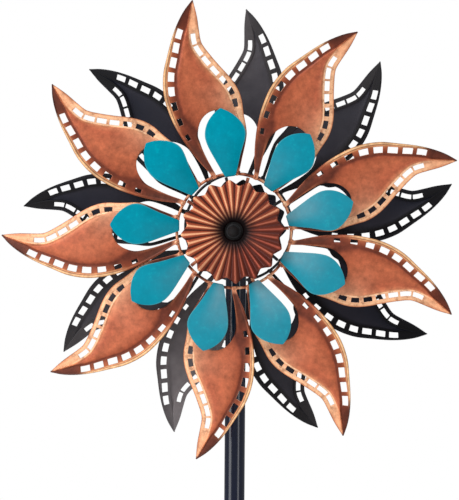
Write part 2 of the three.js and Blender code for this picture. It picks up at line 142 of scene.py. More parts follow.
class SpinnerSettings(bpy.types.PropertyGroup):
    """Sizes and colours that a maker would change."""

    petal_sheet: FloatProperty(
        name="Petal sheet", description="Thickness of the petals' steel",
        default=1.0 * MM, unit="LENGTH", subtype="DISTANCE",
    )
    petal_crown: FloatProperty(
        name="Petal crown", description="How far a petal's panel stands proud of its bands",
        default=2.6 * MM, unit="LENGTH", subtype="DISTANCE",
    )
    bead_height: FloatProperty(
        name="Edge bead", description="Height of the bead pressed along a petal's edges",
        default=0.9 * MM, unit="LENGTH", subtype="DISTANCE",
    )
    window_corner: FloatProperty(
        name="Window corners", description="How sharp the punched windows' corners stay",
        default=0.92, min=0, max=1, subtype="FACTOR",
    )
    blade_dish: FloatProperty(
        name="Blade dish", description="How far a blade's middle stands proud of its edge",
        default=3.0 * MM, unit="LENGTH", subtype="DISTANCE",
    )
    flute_depth: FloatProperty(
        name="Flute depth", description="Depth of the cup's flutes at its rim",
        default=3.6 * MM, unit="LENGTH", subtype="DISTANCE",
    )
    detail: IntProperty(
        name="Detail", description="Subdivision levels of the pressed sheet", default=2, min=1, max=3,
    )
    copper: FloatVectorProperty(
        name="Copper", description="Copper paint on the petals' panels",
        default=(0.47, 0.112, 0.05), subtype="COLOR", min=0, max=1,
    )
    # Peach is a painted highlight that lightens the panels near the cut-out.
    peach: FloatVectorProperty(
        name="Highlight copper", description="Copper paint lightened near the cut-out as a painted highlight",
        default=(0.84, 0.45, 0.265), subtype="COLOR", min=0, max=1,
    )
    umber: FloatVectorProperty(
        name="Dark copper", description="Copper paint where it is left dark",
        default=(0.125, 0.037, 0.022), subtype="COLOR", min=0, max=1,
    )
    teal: FloatVectorProperty(
        name="Teal", description="Enamel on the blades",
        default=(0.0, 0.235, 0.325), subtype="COLOR", min=0, max=1,
    )
    charcoal: FloatVectorProperty(
        name="Charcoal", description="Powder coat on the rear wheel",
        default=(0.018, 0.018, 0.028), subtype="COLOR", min=0, max=1,
    )


# ---------------------------------------------------------------- shader expressions


class Value:
    """A number or colour in a finish, so that sums on it add their nodes."""

    def __init__(self, finish, socket):
        self.finish = finish
        self.socket = socket

    def math(self, operation, first, second):
        return self.finish.node("ShaderNodeMath", {"operation": operation}, {0: first, 1: second})

    def __add__(self, other):
        return self.math("ADD", self, other)

    def __radd__(self, other):
        return self.math("ADD", other, self)

    def __sub__(self, other):
        return self.math("SUBTRACT", self, other)

    def __rsub__(self, other):
        return self.math("SUBTRACT", other, self)

    def __mul__(self, other):
        return self.math("MULTIPLY", self, other)

    def __rmul__(self, other):
        return self.math("MULTIPLY", other, self)

    def step(self, low, high):
        """0 below low, 1 above high and a smooth ramp between; low may be the greater."""
        return self.finish.node(
            "ShaderNodeMapRange", {"interpolation_type": "SMOOTHSTEP", "clamp": True},
            {"Value": self, "From Min": min(low, high), "From Max": max(low, high),
             "To Min": 0.0 if low < high else 1.0, "To Max": 1.0 if low < high else 0.0},
        )

    def band(self, start, end, soft):
        """1 from start to end, falling to 0 over a soft distance outside."""
        return self.step(start - soft, start) * self.step(end + soft, end)

    def ramp(self, stops):
        """The colour at this place along a list of [place, colour] stops."""
        return self.finish.node("ShaderNodeValToRGB", {"stops": stops}, {"Fac": self}, "Color")


class Finish:
    """A material, written as expressions on values."""

    def __init__(self, name):
        self.material = bpy.data.materials.new(name)
        self.material.use_nodes = True
        self.tree = self.material.node_tree
        self.tree.nodes.clear()

    def node(self, kind, settings, values, output=0):
        """Adds a node: its settings first, then its sockets' values or links."""
        made = self.tree.nodes.new(kind)
        for name, setting in settings.items():
            if name == "stops":
                self.fill_ramp(made.color_ramp, setting)
            else:
                setattr(made, name, setting)
        for name, value in values.items():
            socket = made.inputs[name]
            if isinstance(value, Value):
                self.tree.links.new(value.socket, socket)
            else:
                socket.default_value = rgba(value) if socket.type == "RGBA" else value
        return Value(self, made.outputs[output])

    def fill_ramp(self, ramp, stops):
        while len(ramp.elements) > 1:
            ramp.elements.remove(ramp.elements[-1])
        for i, (place, colour) in enumerate(stops):
            element = ramp.elements[0] if i == 0 else ramp.elements.new(place)
            element.position = place
            element.color = rgba(colour)

    def object_place(self):
        return self.node("ShaderNodeTexCoord", {}, {}, "Object")

    def uv(self):
        """Two values: how far across and how far along the piece."""
        both = self.node("ShaderNodeUVMap", {"uv_map": "Sheet"}, {})
        return [self.node("ShaderNodeSeparateXYZ", {}, {0: both}, axis) for axis in (0, 1)]

    def attribute(self, name):
        return self.node("ShaderNodeAttribute", {"attribute_name": name}, {}, "Fac")

    def noise(self, place, scale, detail=3.0, roughness=0.55):
        return self.node(
            "ShaderNodeTexNoise", {},
            {"Vector": place, "Scale": scale, "Detail": detail, "Roughness": roughness}, "Fac",
        )

    def mix(self, share, first, second):
        """A colour part of the way from the first to the second."""
        return self.mixed({}, share, first, second)

    def shade(self, colour, amount):
        """A colour made lighter or darker by an amount about 1."""
        grey = self.node("ShaderNodeCombineColor", {}, {0: amount, 1: amount, 2: amount})
        return self.mixed({"blend_type": "MULTIPLY"}, 1.0, colour, grey)

    def mixed(self, settings, share, first, second):
        """A Mix node on colours, whose colour sockets are the seventh, the eighth and the third out."""
        return self.node(
            "ShaderNodeMix", {"data_type": "RGBA", **settings}, {0: share, 6: first, 7: second}, 2,
        )

    def bump(self, height, strength, distance):
        return self.node(
            "ShaderNodeBump", {}, {"Height": height, "Strength": strength, "Distance": distance},
        )

    def finish_with(self, **values):
        """Closes the finish with one shader; the keys are its sockets' names with underscores."""
        named = {key.replace("_", " ").title().replace("Ior", "IOR"): value for key, value in values.items()}
        shader = self.node("ShaderNodeBsdfPrincipled", {}, named)
        output = self.tree.nodes.new("ShaderNodeOutputMaterial")
        self.tree.links.new(shader.socket, output.inputs["Surface"])
        return self.material


def rgba(colour):
    return (colour[0], colour[1], colour[2], 1.0)


def tint(red, green, blue):
    """A colour given as a paint chart gives it, 0 to 255."""
    def linear(level):
        level /= 255
        return level / 12.92 if level <= 0.04045 else ((level + 0.055) / 1.055) ** 2.4
    return (linear(red), linear(green), linear(blue))


# ---------------------------------------------------------------- mesh helpers


def finish_piece(name, bm, matrix, material, body, node, smooth_angle=35.0):
    """Turns a bmesh into a named piece that rides on its body and stands for its CAD node."""
    bm.transform(matrix)
    mesh = bpy.data.meshes.new(name)
    bm.to_mesh(mesh)
    bm.free()
    mesh.shade_smooth()
    mesh.set_sharp_from_angle(angle=math.radians(smooth_angle))
    piece = bpy.data.objects.new(name, mesh)
    bpy.context.scene.collection.objects.link(piece)
    mesh.materials.append(material)
    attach(piece, body)
    if node:
        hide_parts(node)
    return piece


def turned(profile, steps=64):
    """Turns a closed outline of [radius, height] about the z axis."""
    bm = bmesh.new()
    corners = [bm.verts.new((radius, 0, height)) for radius, height in profile]
    sides = [bm.edges.new(pair) for pair in zip(corners, corners[1:] + corners[:1])]
    bmesh.ops.spin(
        bm, geom=corners + sides, cent=(0, 0, 0), axis=(0, 0, 1), angle=2 * math.pi,
        steps=steps, use_merge=True,
    )
    bmesh.ops.remove_doubles(bm, verts=bm.verts, dist=1e-6)
    loose = [e for e in bm.edges if not e.link_faces]
    bmesh.ops.delete(bm, geom=loose, context="EDGES")
    bmesh.ops.recalc_face_normals(bm, faces=bm.faces)
    return bm


def round_edges(piece, width):
    bevel = piece.modifiers.new("Edges", "BEVEL")
    bevel.width = width
    bevel.segments = 2
    bevel.limit_method = "ANGLE"
    bevel.angle_limit = math.radians(30)


def face_outwards(bm):
    """Turns the faces of an open sheet away from the pole."""
    bmesh.ops.recalc_face_normals(bm, faces=bm.faces)
    if sum(face.normal.z for face in bm.faces) < 0:
        bmesh.ops.reverse_faces(bm, faces=bm.faces)


def smooth_step(value, low, high):
    share = min(1, max(0, (value - low) / (high - low)))
    return share * share * (3 - 2 * share)


class Edge:
    """A smooth curve through a few points, walked by the share of its length."""

    PIECES = 24

    def __init__(self, points):
        points = [Vector(p) for p in points]
        last = len(points) - 1
        self.points = []
        for i in range(last):
            a, b, c, d = (points[min(last, max(0, i + k))] for k in (-1, 0, 1, 2))
            for j in range(self.PIECES):
                t = j / self.PIECES
                self.points.append(
                    (2 * b + (c - a) * t + (2 * a - 5 * b + 4 * c - d) * t ** 2
                     + (3 * b - 3 * c + d - a) * t ** 3) / 2
                )
        self.points.append(points[-1])
        self.reach = [0.0]
        for here, there in zip(self.points, self.points[1:]):
            self.reach.append(self.reach[-1] + (there - here).length)
        self.length = self.reach[-1]

    def at(self, share):
        target = min(1, max(0, share)) * self.length
        i = next(i for i in range(1, len(self.reach)) if self.reach[i] >= target - 1e-9)
        span = self.reach[i] - self.reach[i - 1]
        part = (target - self.reach[i - 1]) / span
        return self.points[i - 1].lerp(self.points[i], part)

    def inward(self, share, side):
        """Unit vector across the curve, to its left for side 1 and to its right for side -1."""
        way = (self.at(share + 0.01) - self.at(share - 0.01)).normalized()
        return Vector((-way.y, way.x)) * side

    def share_at(self, along):
        """The share of the length at which the curve is that far from the hub."""
        i = min(range(len(self.points)), key=lambda i: abs(self.points[i].x - along))
        return self.reach[i] / self.length


# ---------------------------------------------------------------- petals

PETAL_BREADTH = 91.7 * MM
PETAL_TWIST = math.radians(13)
TWIST_START = 0.125
TWIST_END = 0.456
LEG_TAPER = 0.85
LEG_OVERLAP = 0.5 * MM
SEAT_GAP = 0.3 * MM

# Outlines are [share of the length from ring to tip, share of the breadth].
LEADING_EDGE = [
    (0.018, 0.171), (0.132, 0.336), (0.246, 0.46), (0.361, 0.54), (0.486, 0.575), (0.606, 0.538),
    (0.714, 0.44), (0.817, 0.332), (0.897, 0.222), (0.959, 0.108), (1, 0),
]
TRAILING_EDGE = [
    (1, 0), (0.908, -0.017), (0.817, -0.011), (0.754, -0.016), (0.691, -0.084), (0.617, -0.184),
    (0.543, -0.293), (0.475, -0.367), (0.406, -0.399), (0.315, -0.392), (0.224, -0.397),
    (0.155, -0.353), (0.075, -0.276), (0.007, -0.214),
]
CUT_OUT = [
    (0.007, -0.168), (0.075, -0.228), (0.144, -0.291), (0.218, -0.35), (0.269, -0.329), (0.315, -0.27),
    (0.355, -0.171), (0.369, -0.066), (0.365, 0.039), (0.338, 0.142), (0.286, 0.22), (0.224, 0.241),
    (0.144, 0.205), (0.075, 0.158), (0.013, 0.105),
]
BLADE_EDGE = [
    (0, 0.134), (0.235, 0.28), (0.46, 0.415), (0.632, 0.463), (0.8, 0.375), (0.912, 0.22),
    (0.978, 0.085), (1, -0.012), (0.963, -0.134), (0.89, -0.288), (0.78, -0.44), (0.65, -0.53),
    (0.54, -0.51), (0.42, -0.42), (0.309, -0.329), (0.118, -0.202), (0, -0.122),
]


class WindowRow:
    """A row of windows along one edge, counted from the tip."""

    SHRINK = 0.13

    def __init__(self, count, first, last, stretch, length, width, inset, swell, full):
        self.count = count
        self.first = first
        self.last = last
        self.stretch = stretch
        self.length = length
        self.width = width
        self.inset = inset
        self.swell = swell
        self.full = full

    def middle(self, i):
        step = i / (self.count - 1)
        return self.first + (self.last - self.first) * step * (1 - self.stretch + self.stretch * step)

    def size(self, i):
        return 1 - self.SHRINK * max(0, i - self.full + 1)

    def ends(self, i, petal_length, edge_length):
        half = self.size(i) * self.length * petal_length / edge_length / 2
        return self.middle(i) - half, self.middle(i) + half

    def sides(self, share):
        """Distances from the edge to a window's two long sides at a share of the way along."""
        step = min(1, max(0, (share - self.first) / (self.last - self.first)))
        size = 1 - self.SHRINK * max(0, step * (self.count - 1) - self.full + 1)
        inset = PETAL_BREADTH * (self.inset + self.swell * math.sin(math.pi * step))
        half = PETAL_BREADTH * self.width * size / 2
        return inset - half, inset + half


LEADING_WINDOWS = WindowRow(8, 0.195, 0.78, 0.11, 0.0586, 0.081, 0.073, 0.03, 5)
TRAILING_WINDOWS = WindowRow(7, 0.205, 0.62, 0.2, 0.053, 0.066, 0.091, 0, 7)

TIP_ROWS = 7
NECK_ROWS = 4  # between the last trailing window and the cut-out
LEG_ROWS = 6
WINDOW_CELLS = 3
BAND = 6  # cells from a petal's edge to its panel
PANEL = 8  # cells across the panel
COLUMNS = 2 * BAND + PANEL
CUT_LEADING = 0.25  # where the cut-out's arc starts and ends, as shares of the length
CUT_TRAILING = 0.215
NECK_LEADING = 0.262  # where the leading edge lies level with the arc's start
BAND_MARGIN = 2.2 * MM  # from a window to the panel
BEAD_CROWN = 0.33  # where the edge bead stands highest, as a share of the way to the windows
BEAD_FOOT = 0.72
LEG_FILL = 0.86  # share of a leg's width that its columns may take
ROW_FILL = 0.9  # share of a narrow row's width that both bands may take
ROW_EASE = 6  # how sharply the bands start to narrow
FIRST_ROW = 0.08  # how far the first row lies from the tip, in rows
BULGE_EASE = 1.6
TIP_CREASE = 0.7
LEADING_BEAD = (0, 1, 0.1, 0.25, 0.25, 0.25, 0)  # heights of the columns of a band, in bead heights
TRAILING_BEAD = (0, 0.35, 0.4, 0.3, 0.25, 0.2, 0)
ROOT_FLATTENING = 0.75  # how much of the crown is gone at the cut-out
FULL_RELIEF_WIDTH = 22 * MM  # narrower rows are pressed less


class PetalPlan:
    """Where each corner of a petal's sheet lies, by row from the tip and column from the leading edge."""

    def __init__(self, ring_radius, wire, tip_radius):
        self.ring_radius = ring_radius
        self.leg_radius = ring_radius - wire / 2 - LEG_OVERLAP
        self.length = tip_radius - ring_radius
        self.leading = Edge(self.scaled(LEADING_EDGE[::-1]))
        self.trailing = Edge(self.scaled(TRAILING_EDGE))
        cut = Edge(self.scaled(CUT_OUT))
        top = max(range(len(cut.points)), key=lambda i: cut.points[i].x)
        self.cut_trailing = Edge(cut.points[:top + 1][::8])
        self.cut_leading = Edge(cut.points[top:][::-1][::8])
        start = self.cut_trailing.share_at(self.x_at(CUT_TRAILING))
        end = self.cut_leading.share_at(self.x_at(CUT_LEADING))
        down = [self.cut_trailing.at(start + (1 - start) * i / 12) for i in range(13)]
        up = [self.cut_leading.at(1 - (1 - end) * i / 12) for i in range(1, 13)]
        self.arc = Edge((down + up)[::-1])  # from the leading side over the top to the trailing side
        self.plan_rows()

    def scaled(self, shares):
        return [(self.x_at(along), across * PETAL_BREADTH) for along, across in shares]

    def x_at(self, along):
        return self.ring_radius + along * self.length

    def plan_rows(self):
        """Shares along both edges for every row, and the cells that are windows."""
        lead, trail = LEADING_WINDOWS, TRAILING_WINDOWS
        self.rows = []
        self.holes = []
        first = (lead.ends(0, self.length, self.leading.length)[0],
                 trail.ends(0, self.length, self.trailing.length)[0])
        for i in range(TIP_ROWS):
            part = (i + FIRST_ROW) / TIP_ROWS
            self.rows.append((first[0] * part, first[1] * part))
        for i in range(trail.count):
            a = lead.ends(i, self.length, self.leading.length)
            b = trail.ends(i, self.length, self.trailing.length)
            if i:
                self.add_between(a[0], b[0], 1)
            self.holes.append((len(self.rows), 0))
            self.holes.append((len(self.rows), 1))
            for j in range(WINDOW_CELLS + 1):
                part = j / WINDOW_CELLS
                self.rows.append((a[0] + (a[1] - a[0]) * part, b[0] + (b[1] - b[0]) * part))
        neck = (self.leading.share_at(self.x_at(NECK_LEADING)),
                self.trailing.share_at(self.x_at(CUT_TRAILING)))
        self.add_between(neck[0], neck[1], NECK_ROWS - 1)
        self.cut_row = len(self.rows)
        self.rows.append(neck)
        a = lead.ends(lead.count - 1, self.length, self.leading.length)
        rows_left = 1 + WINDOW_CELLS + 1 + LEG_ROWS
        fall = (1 - neck[1]) / rows_left
        self.add_between(a[0], neck[1] + fall, 0)
        self.holes.append((len(self.rows), 0))
        for j in range(WINDOW_CELLS + 1):
            self.rows.append((a[0] + (a[1] - a[0]) * j / WINDOW_CELLS, neck[1] + fall * (1 + j)))
        here = self.rows[-1]
        for j in range(1, LEG_ROWS + 1):
            part = j / LEG_ROWS
            self.rows.append((here[0] + (1 - here[0]) * part, here[1] + (1 - here[1]) * part))
        self.rows.append((1, 1))  # the legs' ends inside the ring
        self.count = len(self.rows)

    def add_between(self, leading, trailing, extra):
        """Rows between the last one and the given shares, without either."""
        a, b = self.rows[-1]
        for i in range(1, extra + 1):
            part = i / (extra + 1)
            self.rows.append((a + (leading - a) * part, b + (trailing - b) * part))

    def row_width(self, row):
        leading, trailing = self.rows[row]
        return (self.leading.at(leading) - self.trailing.at(trailing)).length

    def band_places(self, row, side):
        """Points from an edge to the panel's line, for the leading (0) or trailing (1) band."""
        edge = (self.leading, self.trailing)[side]
        windows = (LEADING_WINDOWS, TRAILING_WINDOWS)[side]
        share = self.rows[row][side]
        start = edge.at(share)
        outer, inner = windows.sides(share)
        line = inner + BAND_MARGIN
        inward = edge.inward(share, 1 - 2 * side)
        if row >= self.cut_row:
            end = self.leg_inside(row, side)
            room = (end - start).length
            fit = min(1, LEG_FILL * room / line)
        else:
            room = self.row_width(row)
            both = line + (TRAILING_WINDOWS, LEADING_WINDOWS)[side].sides(self.rows[row][1 - side])[1]
            fit = 1 / (1 + (both / (ROW_FILL * room)) ** ROW_EASE) ** (1 / ROW_EASE)
            end = start + inward * line * fit
            blend = smooth_step(row, self.cut_row - NECK_ROWS - 3, self.cut_row)
            corner = self.arc.at(side)
            root = edge.at(self.rows[self.cut_row][side])
            end = end.lerp(start + (corner - root), blend)
        stations = [0, BEAD_CROWN * outer, BEAD_FOOT * outer, outer, (outer + inner) / 2, inner]
        places = [start + inward * d * fit for d in stations]
        return places + [end]

    def leg_inside(self, row, side):
        """The point on the cut-out's side across the leg from an edge's row."""
        cut = (self.cut_leading, self.cut_trailing)[side]
        edge = (self.leading, self.trailing)[side]
        top = edge.at(self.rows[self.cut_row][side]).x
        low = edge.at(1).x
        part = (edge.at(self.rows[row][side]).x - low) / (top - low)
        high = self.arc.at(side).x
        foot = cut.points[0].x
        return cut.at(cut.share_at(foot + (high - foot) * part))

    def row_places(self, row):
        """All the points of one row, from the leading edge to the trailing edge."""
        lead = self.band_places(row, 0)
        trail = self.band_places(row, 1)
        if row == self.count - 1:
            lead, trail = ([self.leg_end(p) for p in band] for band in (lead, trail))
        places = list(lead)
        drop = smooth_step(row, 3, self.cut_row) if row < self.cut_row else 1.0
        cut_lead, cut_trail = self.arc.at(0), self.arc.at(1)
        for i in range(1, PANEL):
            part = i / PANEL
            straight = lead[-1].lerp(trail[-1], part)
            bulge = self.arc.at(part) - cut_lead.lerp(cut_trail, part)
            places.append(straight + bulge * drop ** BULGE_EASE)
        return places + trail[::-1]

    def leg_end(self, point):
        across = LEG_TAPER * point.y
        return Vector((math.sqrt(self.leg_radius ** 2 - across ** 2), across))

    def relief(self, row, column, crown, bead):
        """Height of the pressed sheet above its flat blank."""
        from_edge = min(column, COLUMNS - column)
        if from_edge <= BAND:
            height = bead * (LEADING_BEAD if column < COLUMNS / 2 else TRAILING_BEAD)[from_edge]
        else:
            part = (column - BAND) / PANEL
            roof = 1 - abs(2 * part - 1)
            dome = math.sqrt(max(0, 1 - (2 * part - 1) ** 2))
            near_tip = smooth_step(row, TIP_ROWS + 4, 2)
            height = crown * ((1 - near_tip) * dome + near_tip * roof)
            height *= 1 - ROOT_FLATTENING * smooth_step(row, self.cut_row - 9, self.cut_row)
        return height * min(1, self.row_width(row) / FULL_RELIEF_WIDTH)


_plans = {}


def petal_plan(wheel, tip_radius):
    """Petals of one length share a plan."""
    key = round(tip_radius, 5)
    if key not in _plans:
        _plans[key] = PetalPlan(wheel.ring_radius, wheel.wire, tip_radius)
    return _plans[key]


def pressed_petal(wheel, node, settings):
    """One petal: a grid of sheet bent to the outline, with its windows and cut-out removed."""
    angle, tip_radius = wheel.petal_turn(node)
    plan = petal_plan(wheel, tip_radius)
    twist = PETAL_TWIST if wheel.side == "front" else -PETAL_TWIST
    bm = bmesh.new()
    bmesh.ops.create_grid(bm, x_segments=COLUMNS, y_segments=plan.count - 1, size=1)
    sheet_uv = bm.loops.layers.uv.new("Sheet")
    crease = bm.verts.layers.float.new("crease_vert")
    grid = {}
    for vert in bm.verts:
        column = round((vert.co.x + 1) / 2 * COLUMNS)
        row = round((1 - vert.co.y) / 2 * (plan.count - 1))
        grid[row, column] = vert
    where = {vert: key for key, vert in grid.items()}
    seat = wheel.wire / 2 + SEAT_GAP + settings.petal_sheet
    for row in range(plan.count):
        for column, place in enumerate(plan.row_places(row)):
            along = (place.x - plan.ring_radius) / plan.length
            lift = math.tan(twist) * place.y * smooth_step(along, TWIST_START, TWIST_END)
            lift += plan.relief(row, column, settings.petal_crown, settings.bead_height)
            grid[row, column].co = (place.x, place.y, seat + lift)
    removed = []
    for face in bm.faces:
        cells = [where[v] for v in face.verts]
        row = min(r for r, c in cells)
        column = min(c for r, c in cells)
        for loop in face.loops:
            r, c = where[loop.vert]
            loop[sheet_uv].uv = (c / COLUMNS, (loop.vert.co.x - plan.ring_radius) / plan.length)
        in_cut = row >= plan.cut_row and BAND <= column < COLUMNS - BAND
        if in_cut or is_window(plan, row, column):
            removed.append(face)
    bmesh.ops.delete(bm, geom=removed, context="FACES")
    for start, side in plan.holes:
        for r in (start, start + WINDOW_CELLS):
            for c in window_columns(side):
                grid[r, c][crease] = settings.window_corner
    for vert in (grid[0, 0], grid[0, COLUMNS]):
        vert[crease] = TIP_CREASE
    face_outwards(bm)
    return bm, Matrix.Rotation(angle, 4, "Z")


def window_columns(side):
    """First and last column line of the windows of a band."""
    return (3, 5) if side == 0 else (COLUMNS - 5, COLUMNS - 3)


def is_window(plan, row, column):
    for start, side in plan.holes:
        first, last = window_columns(side)
        if start <= row < start + WINDOW_CELLS and first <= column < last:
            return True
    return False


def sheet_metal(piece, edge):
    """Smooths a pressed sheet and gives it its thickness, below its outer face, and mottled cut edges, a pale
    painted highlight on the copper petals.
    """
    settings = bpy.context.scene.wind_spinner
    piece.data.materials.append(finish(edge))
    smooth = piece.modifiers.new("Pressing", "SUBSURF")
    smooth.levels = settings.detail
    smooth.render_levels = settings.detail
    smooth.boundary_smooth = "ALL"
    wall = piece.modifiers.new("Sheet", "SOLIDIFY")
    wall.thickness = settings.petal_sheet
    wall.offset = -1
    wall.material_offset_rim = 1


# ---------------------------------------------------------------- finishes


def copper_sheet(settings):
    """Copper paint by zones: dark edges and legs, bright bands of painted highlight, painted shade at the
    panel's leading step, mottled panel.
    """
    f = Finish("copper sheet")
    across, along = f.uv()
    place = f.object_place()
    cloud = f.noise(place, 34.0, 3.0, 0.6)
    mottle = f.noise(place, 130.0, 5.0, 0.7)
    grain = f.noise(place, 700.0, 2.0, 0.6)
    copper, peach, umber = settings.copper, settings.peach, settings.umber

    # The panel: darker at its leading step, painted shade, and lighter towards the trailing band, a painted
    # highlight.
    panel = across.ramp([
        (0.30, tint(136, 62, 38)), (0.345, tint(168, 84, 54)), (0.42, tint(188, 100, 66)), (0.55, copper),
        (0.64, tint(206, 122, 84)), (0.70, tint(232, 160, 118)),
    ])
    # Lighter towards the cut-out: a painted highlight.
    near_cut = along.step(0.58, 0.38) * across.step(0.40, 0.66) * 0.5
    panel = f.mix(near_cut, panel, peach)

    # The leading band: the pale lines on the edge bead are painted highlights, and the dark line at the
    # panel's step is painted shade.
    rim = across.ramp([
        (0.0, tint(118, 62, 40)), (0.02, tint(232, 176, 122)), (0.055, tint(250, 206, 154)),
        (0.085, tint(140, 78, 50)), (0.11, tint(232, 168, 116)), (0.145, tint(176, 98, 62)),
        (0.20, tint(150, 74, 46)), (0.26, tint(120, 56, 34)), (0.30, tint(112, 50, 32)),
    ])
    plain_rim = across.ramp([
        (0.0, tint(84, 38, 26)), (0.03, tint(160, 80, 50)), (0.07, tint(190, 106, 70)),
        (0.11, tint(150, 72, 44)), (0.20, tint(132, 60, 38)), (0.30, tint(108, 48, 32)),
    ])
    # The painted highlights are brightest along the middle of the petal.
    rim = f.mix(along.band(0.36, 0.82, 0.10) * (0.55 + mottle * 0.7), plain_rim, rim)
    colour = f.mix(across.step(0.335, 0.295), panel, rim)

    # The trailing band is a pale painted highlight, broken by darker mottled patches.
    trailing = across.ramp([
        (0.69, tint(232, 166, 124)), (0.72, tint(250, 204, 164)), (0.76, tint(228, 164, 124)),
        (0.82, tint(242, 190, 150)), (0.87, tint(236, 178, 136)), (0.93, tint(246, 192, 148)),
        (0.975, tint(226, 156, 112)), (1.0, tint(150, 84, 56)),
    ])
    painted_highlight = f.mix(mottle.step(0.46, 0.40) * 0.35, trailing, tint(176, 96, 66))
    colour = f.mix(across.step(0.665, 0.715), colour, painted_highlight)

    # At the tip, either side of its ridge: the leading half darker, painted shade, and the trailing half
    # pale, a painted highlight.
    tip_colour = across.ramp([
        (0.0, tint(66, 28, 18)), (0.15, tint(92, 40, 24)), (0.38, tint(120, 54, 34)),
        (0.48, tint(176, 94, 62)),
        (0.60, tint(238, 160, 114)), (0.85, tint(250, 182, 138)), (0.97, tint(200, 124, 86)),
        (1.0, tint(110, 56, 38)),
    ])
    colour = f.mix(along.step(0.80, 0.88), colour, tip_colour)
    colour = f.mix(along.step(0.972, 0.995), colour, tint(84, 38, 28))
    # The legs: dark, with pale lines along their edges that are painted highlights.
    leg_colour = across.ramp([
        (0.0, tint(196, 118, 82)), (0.03, tint(124, 58, 38)), (0.15, umber), (0.27, tint(108, 50, 32)),
        (0.30, tint(186, 108, 74)), (0.70, tint(190, 112, 78)), (0.73, tint(112, 52, 34)), (0.85, umber),
        (0.97, tint(124, 58, 38)), (1.0, tint(190, 112, 78)),
    ])
    colour = f.mix(along.step(0.27, 0.14), colour, leg_colour)
    colour = f.mix(along.step(0.035, 0.005), colour, tint(226, 150, 112))
    colour = f.shade(colour, 0.01 + cloud * 0.5 + mottle * 1.4)
    return f.finish_with(
        base_color=colour, metallic=0.25, roughness=0.36 + mottle * 0.2, specular_ior_level=0.35,
        normal=f.bump(mottle * 0.8 + grain * 0.2, 0.22, 0.0008),
    )


def mottled_cut_edge(name, colour):
    """The cut edges of sheet, mottled about a given colour; the copper petals' pale edge colour is a painted
    highlight.
    """
    f = Finish(name)
    cloud = f.noise(f.object_place(), 160.0, 3.0, 0.6)
    shade = f.mix(cloud, [c * 0.65 for c in colour], [c * 1.25 for c in colour])
    return f.finish_with(base_color=shade, metallic=0.2, roughness=0.4 + cloud * 0.1)


def copper_wire():
    """Dark copper paint with bright patches of painted highlight, for the ring, the spokes and their welds.
    """
    f = Finish("copper wire")
    place = f.object_place()
    cloud = f.noise(place, 70.0, 3.0, 0.6)
    # The pale end of this ramp is painted highlight.
    colour = cloud.ramp([
        (0.30, tint(84, 42, 30)), (0.45, tint(150, 80, 54)), (0.56, tint(228, 152, 112)),
        (0.70, tint(255, 220, 180)),
    ])
    return f.finish_with(
        base_color=colour, metallic=0.4, roughness=0.32 + cloud * 0.2,
        normal=f.bump(cloud, 0.2, 0.0006),
    )


def copper_cup():
    """The fluted cup: bright ridges that are painted highlights, painted light on one side and maroon painted
    shade on the other, and a burnt black centre.
    """
    f = Finish("copper cup")
    along = f.uv()[1]
    place = f.object_place()
    cloud = f.noise(place, 90.0, 4.0, 0.6)
    ridge = f.attribute("ridge")
    painted_light_and_polish = f.attribute("painted_light_and_polish")
    # Ridge crests and flanks run from painted shade to painted light by side, with a random polish per flute.
    bright = f.mix(painted_light_and_polish.step(0.15, 0.85), tint(138, 64, 48), tint(255, 186, 140))
    body = f.mix(painted_light_and_polish.step(0.1, 0.9), tint(98, 44, 34), tint(186, 94, 66))
    colour = f.mix(ridge.step(0.70, 0.97), body, bright)
    # The grooves are darkened: painted shade.
    colour = f.mix(ridge.step(0.40, 0.02), colour, f.mix(painted_light_and_polish, tint(74, 32, 27), tint(82, 36, 27)))
    burnt = f.mix(cloud, tint(10, 6, 8), tint(26, 14, 14))
    colour = f.mix((along + cloud * 0.14).step(0.48, 0.06), colour, burnt)
    colour = f.shade(colour, 0.78 + cloud * 0.44)
    return f.finish_with(
        base_color=colour, metallic=0.35, roughness=0.32 + cloud * 0.14, specular_ior_level=0.15,
        normal=f.bump(cloud, 0.12, 0.0005),
    )


def teal_enamel(settings):
    """Teal enamel, greyed near the root on some blades by a painted reflection, lighter along the edges, with
    a faint patina.
    """
    f = Finish("teal enamel")
    across, along = f.uv()
    place = f.object_place()
    wash = f.attribute("wash")
    cloud = f.noise(place, 45.0, 5.0, 0.7)
    patina = f.noise(place, 160.0, 4.0, 0.7)
    colour = f.mix(cloud.step(0.38, 0.68) * 0.6, settings.teal, tint(0, 122, 142))
    colour = f.mix(patina.step(0.56, 0.70) * 0.35, colour, tint(0, 156, 168))
    # Grey near the root of some blades: a painted reflection.
    pale = wash * (0.10 + along.step(0.75, 0.05) * across.step(0.9, 0.3) * 0.5)
    colour = f.mix(pale * (0.4 + cloud * 0.8), colour, tint(140, 164, 172))
    rim = across.step(0.965, 0.995) + across.step(0.035, 0.005) + along.step(0.98, 0.998)
    colour = f.mix(rim * 0.45, colour, tint(90, 170, 180))
    colour = f.shade(colour, 0.86 + patina * 0.28)
    return f.finish_with(
        base_color=colour, metallic=0.0, roughness=0.5 + cloud * 0.14, specular_ior_level=0.0,
        normal=f.bump(patina, 0.10, 0.0005),
    )


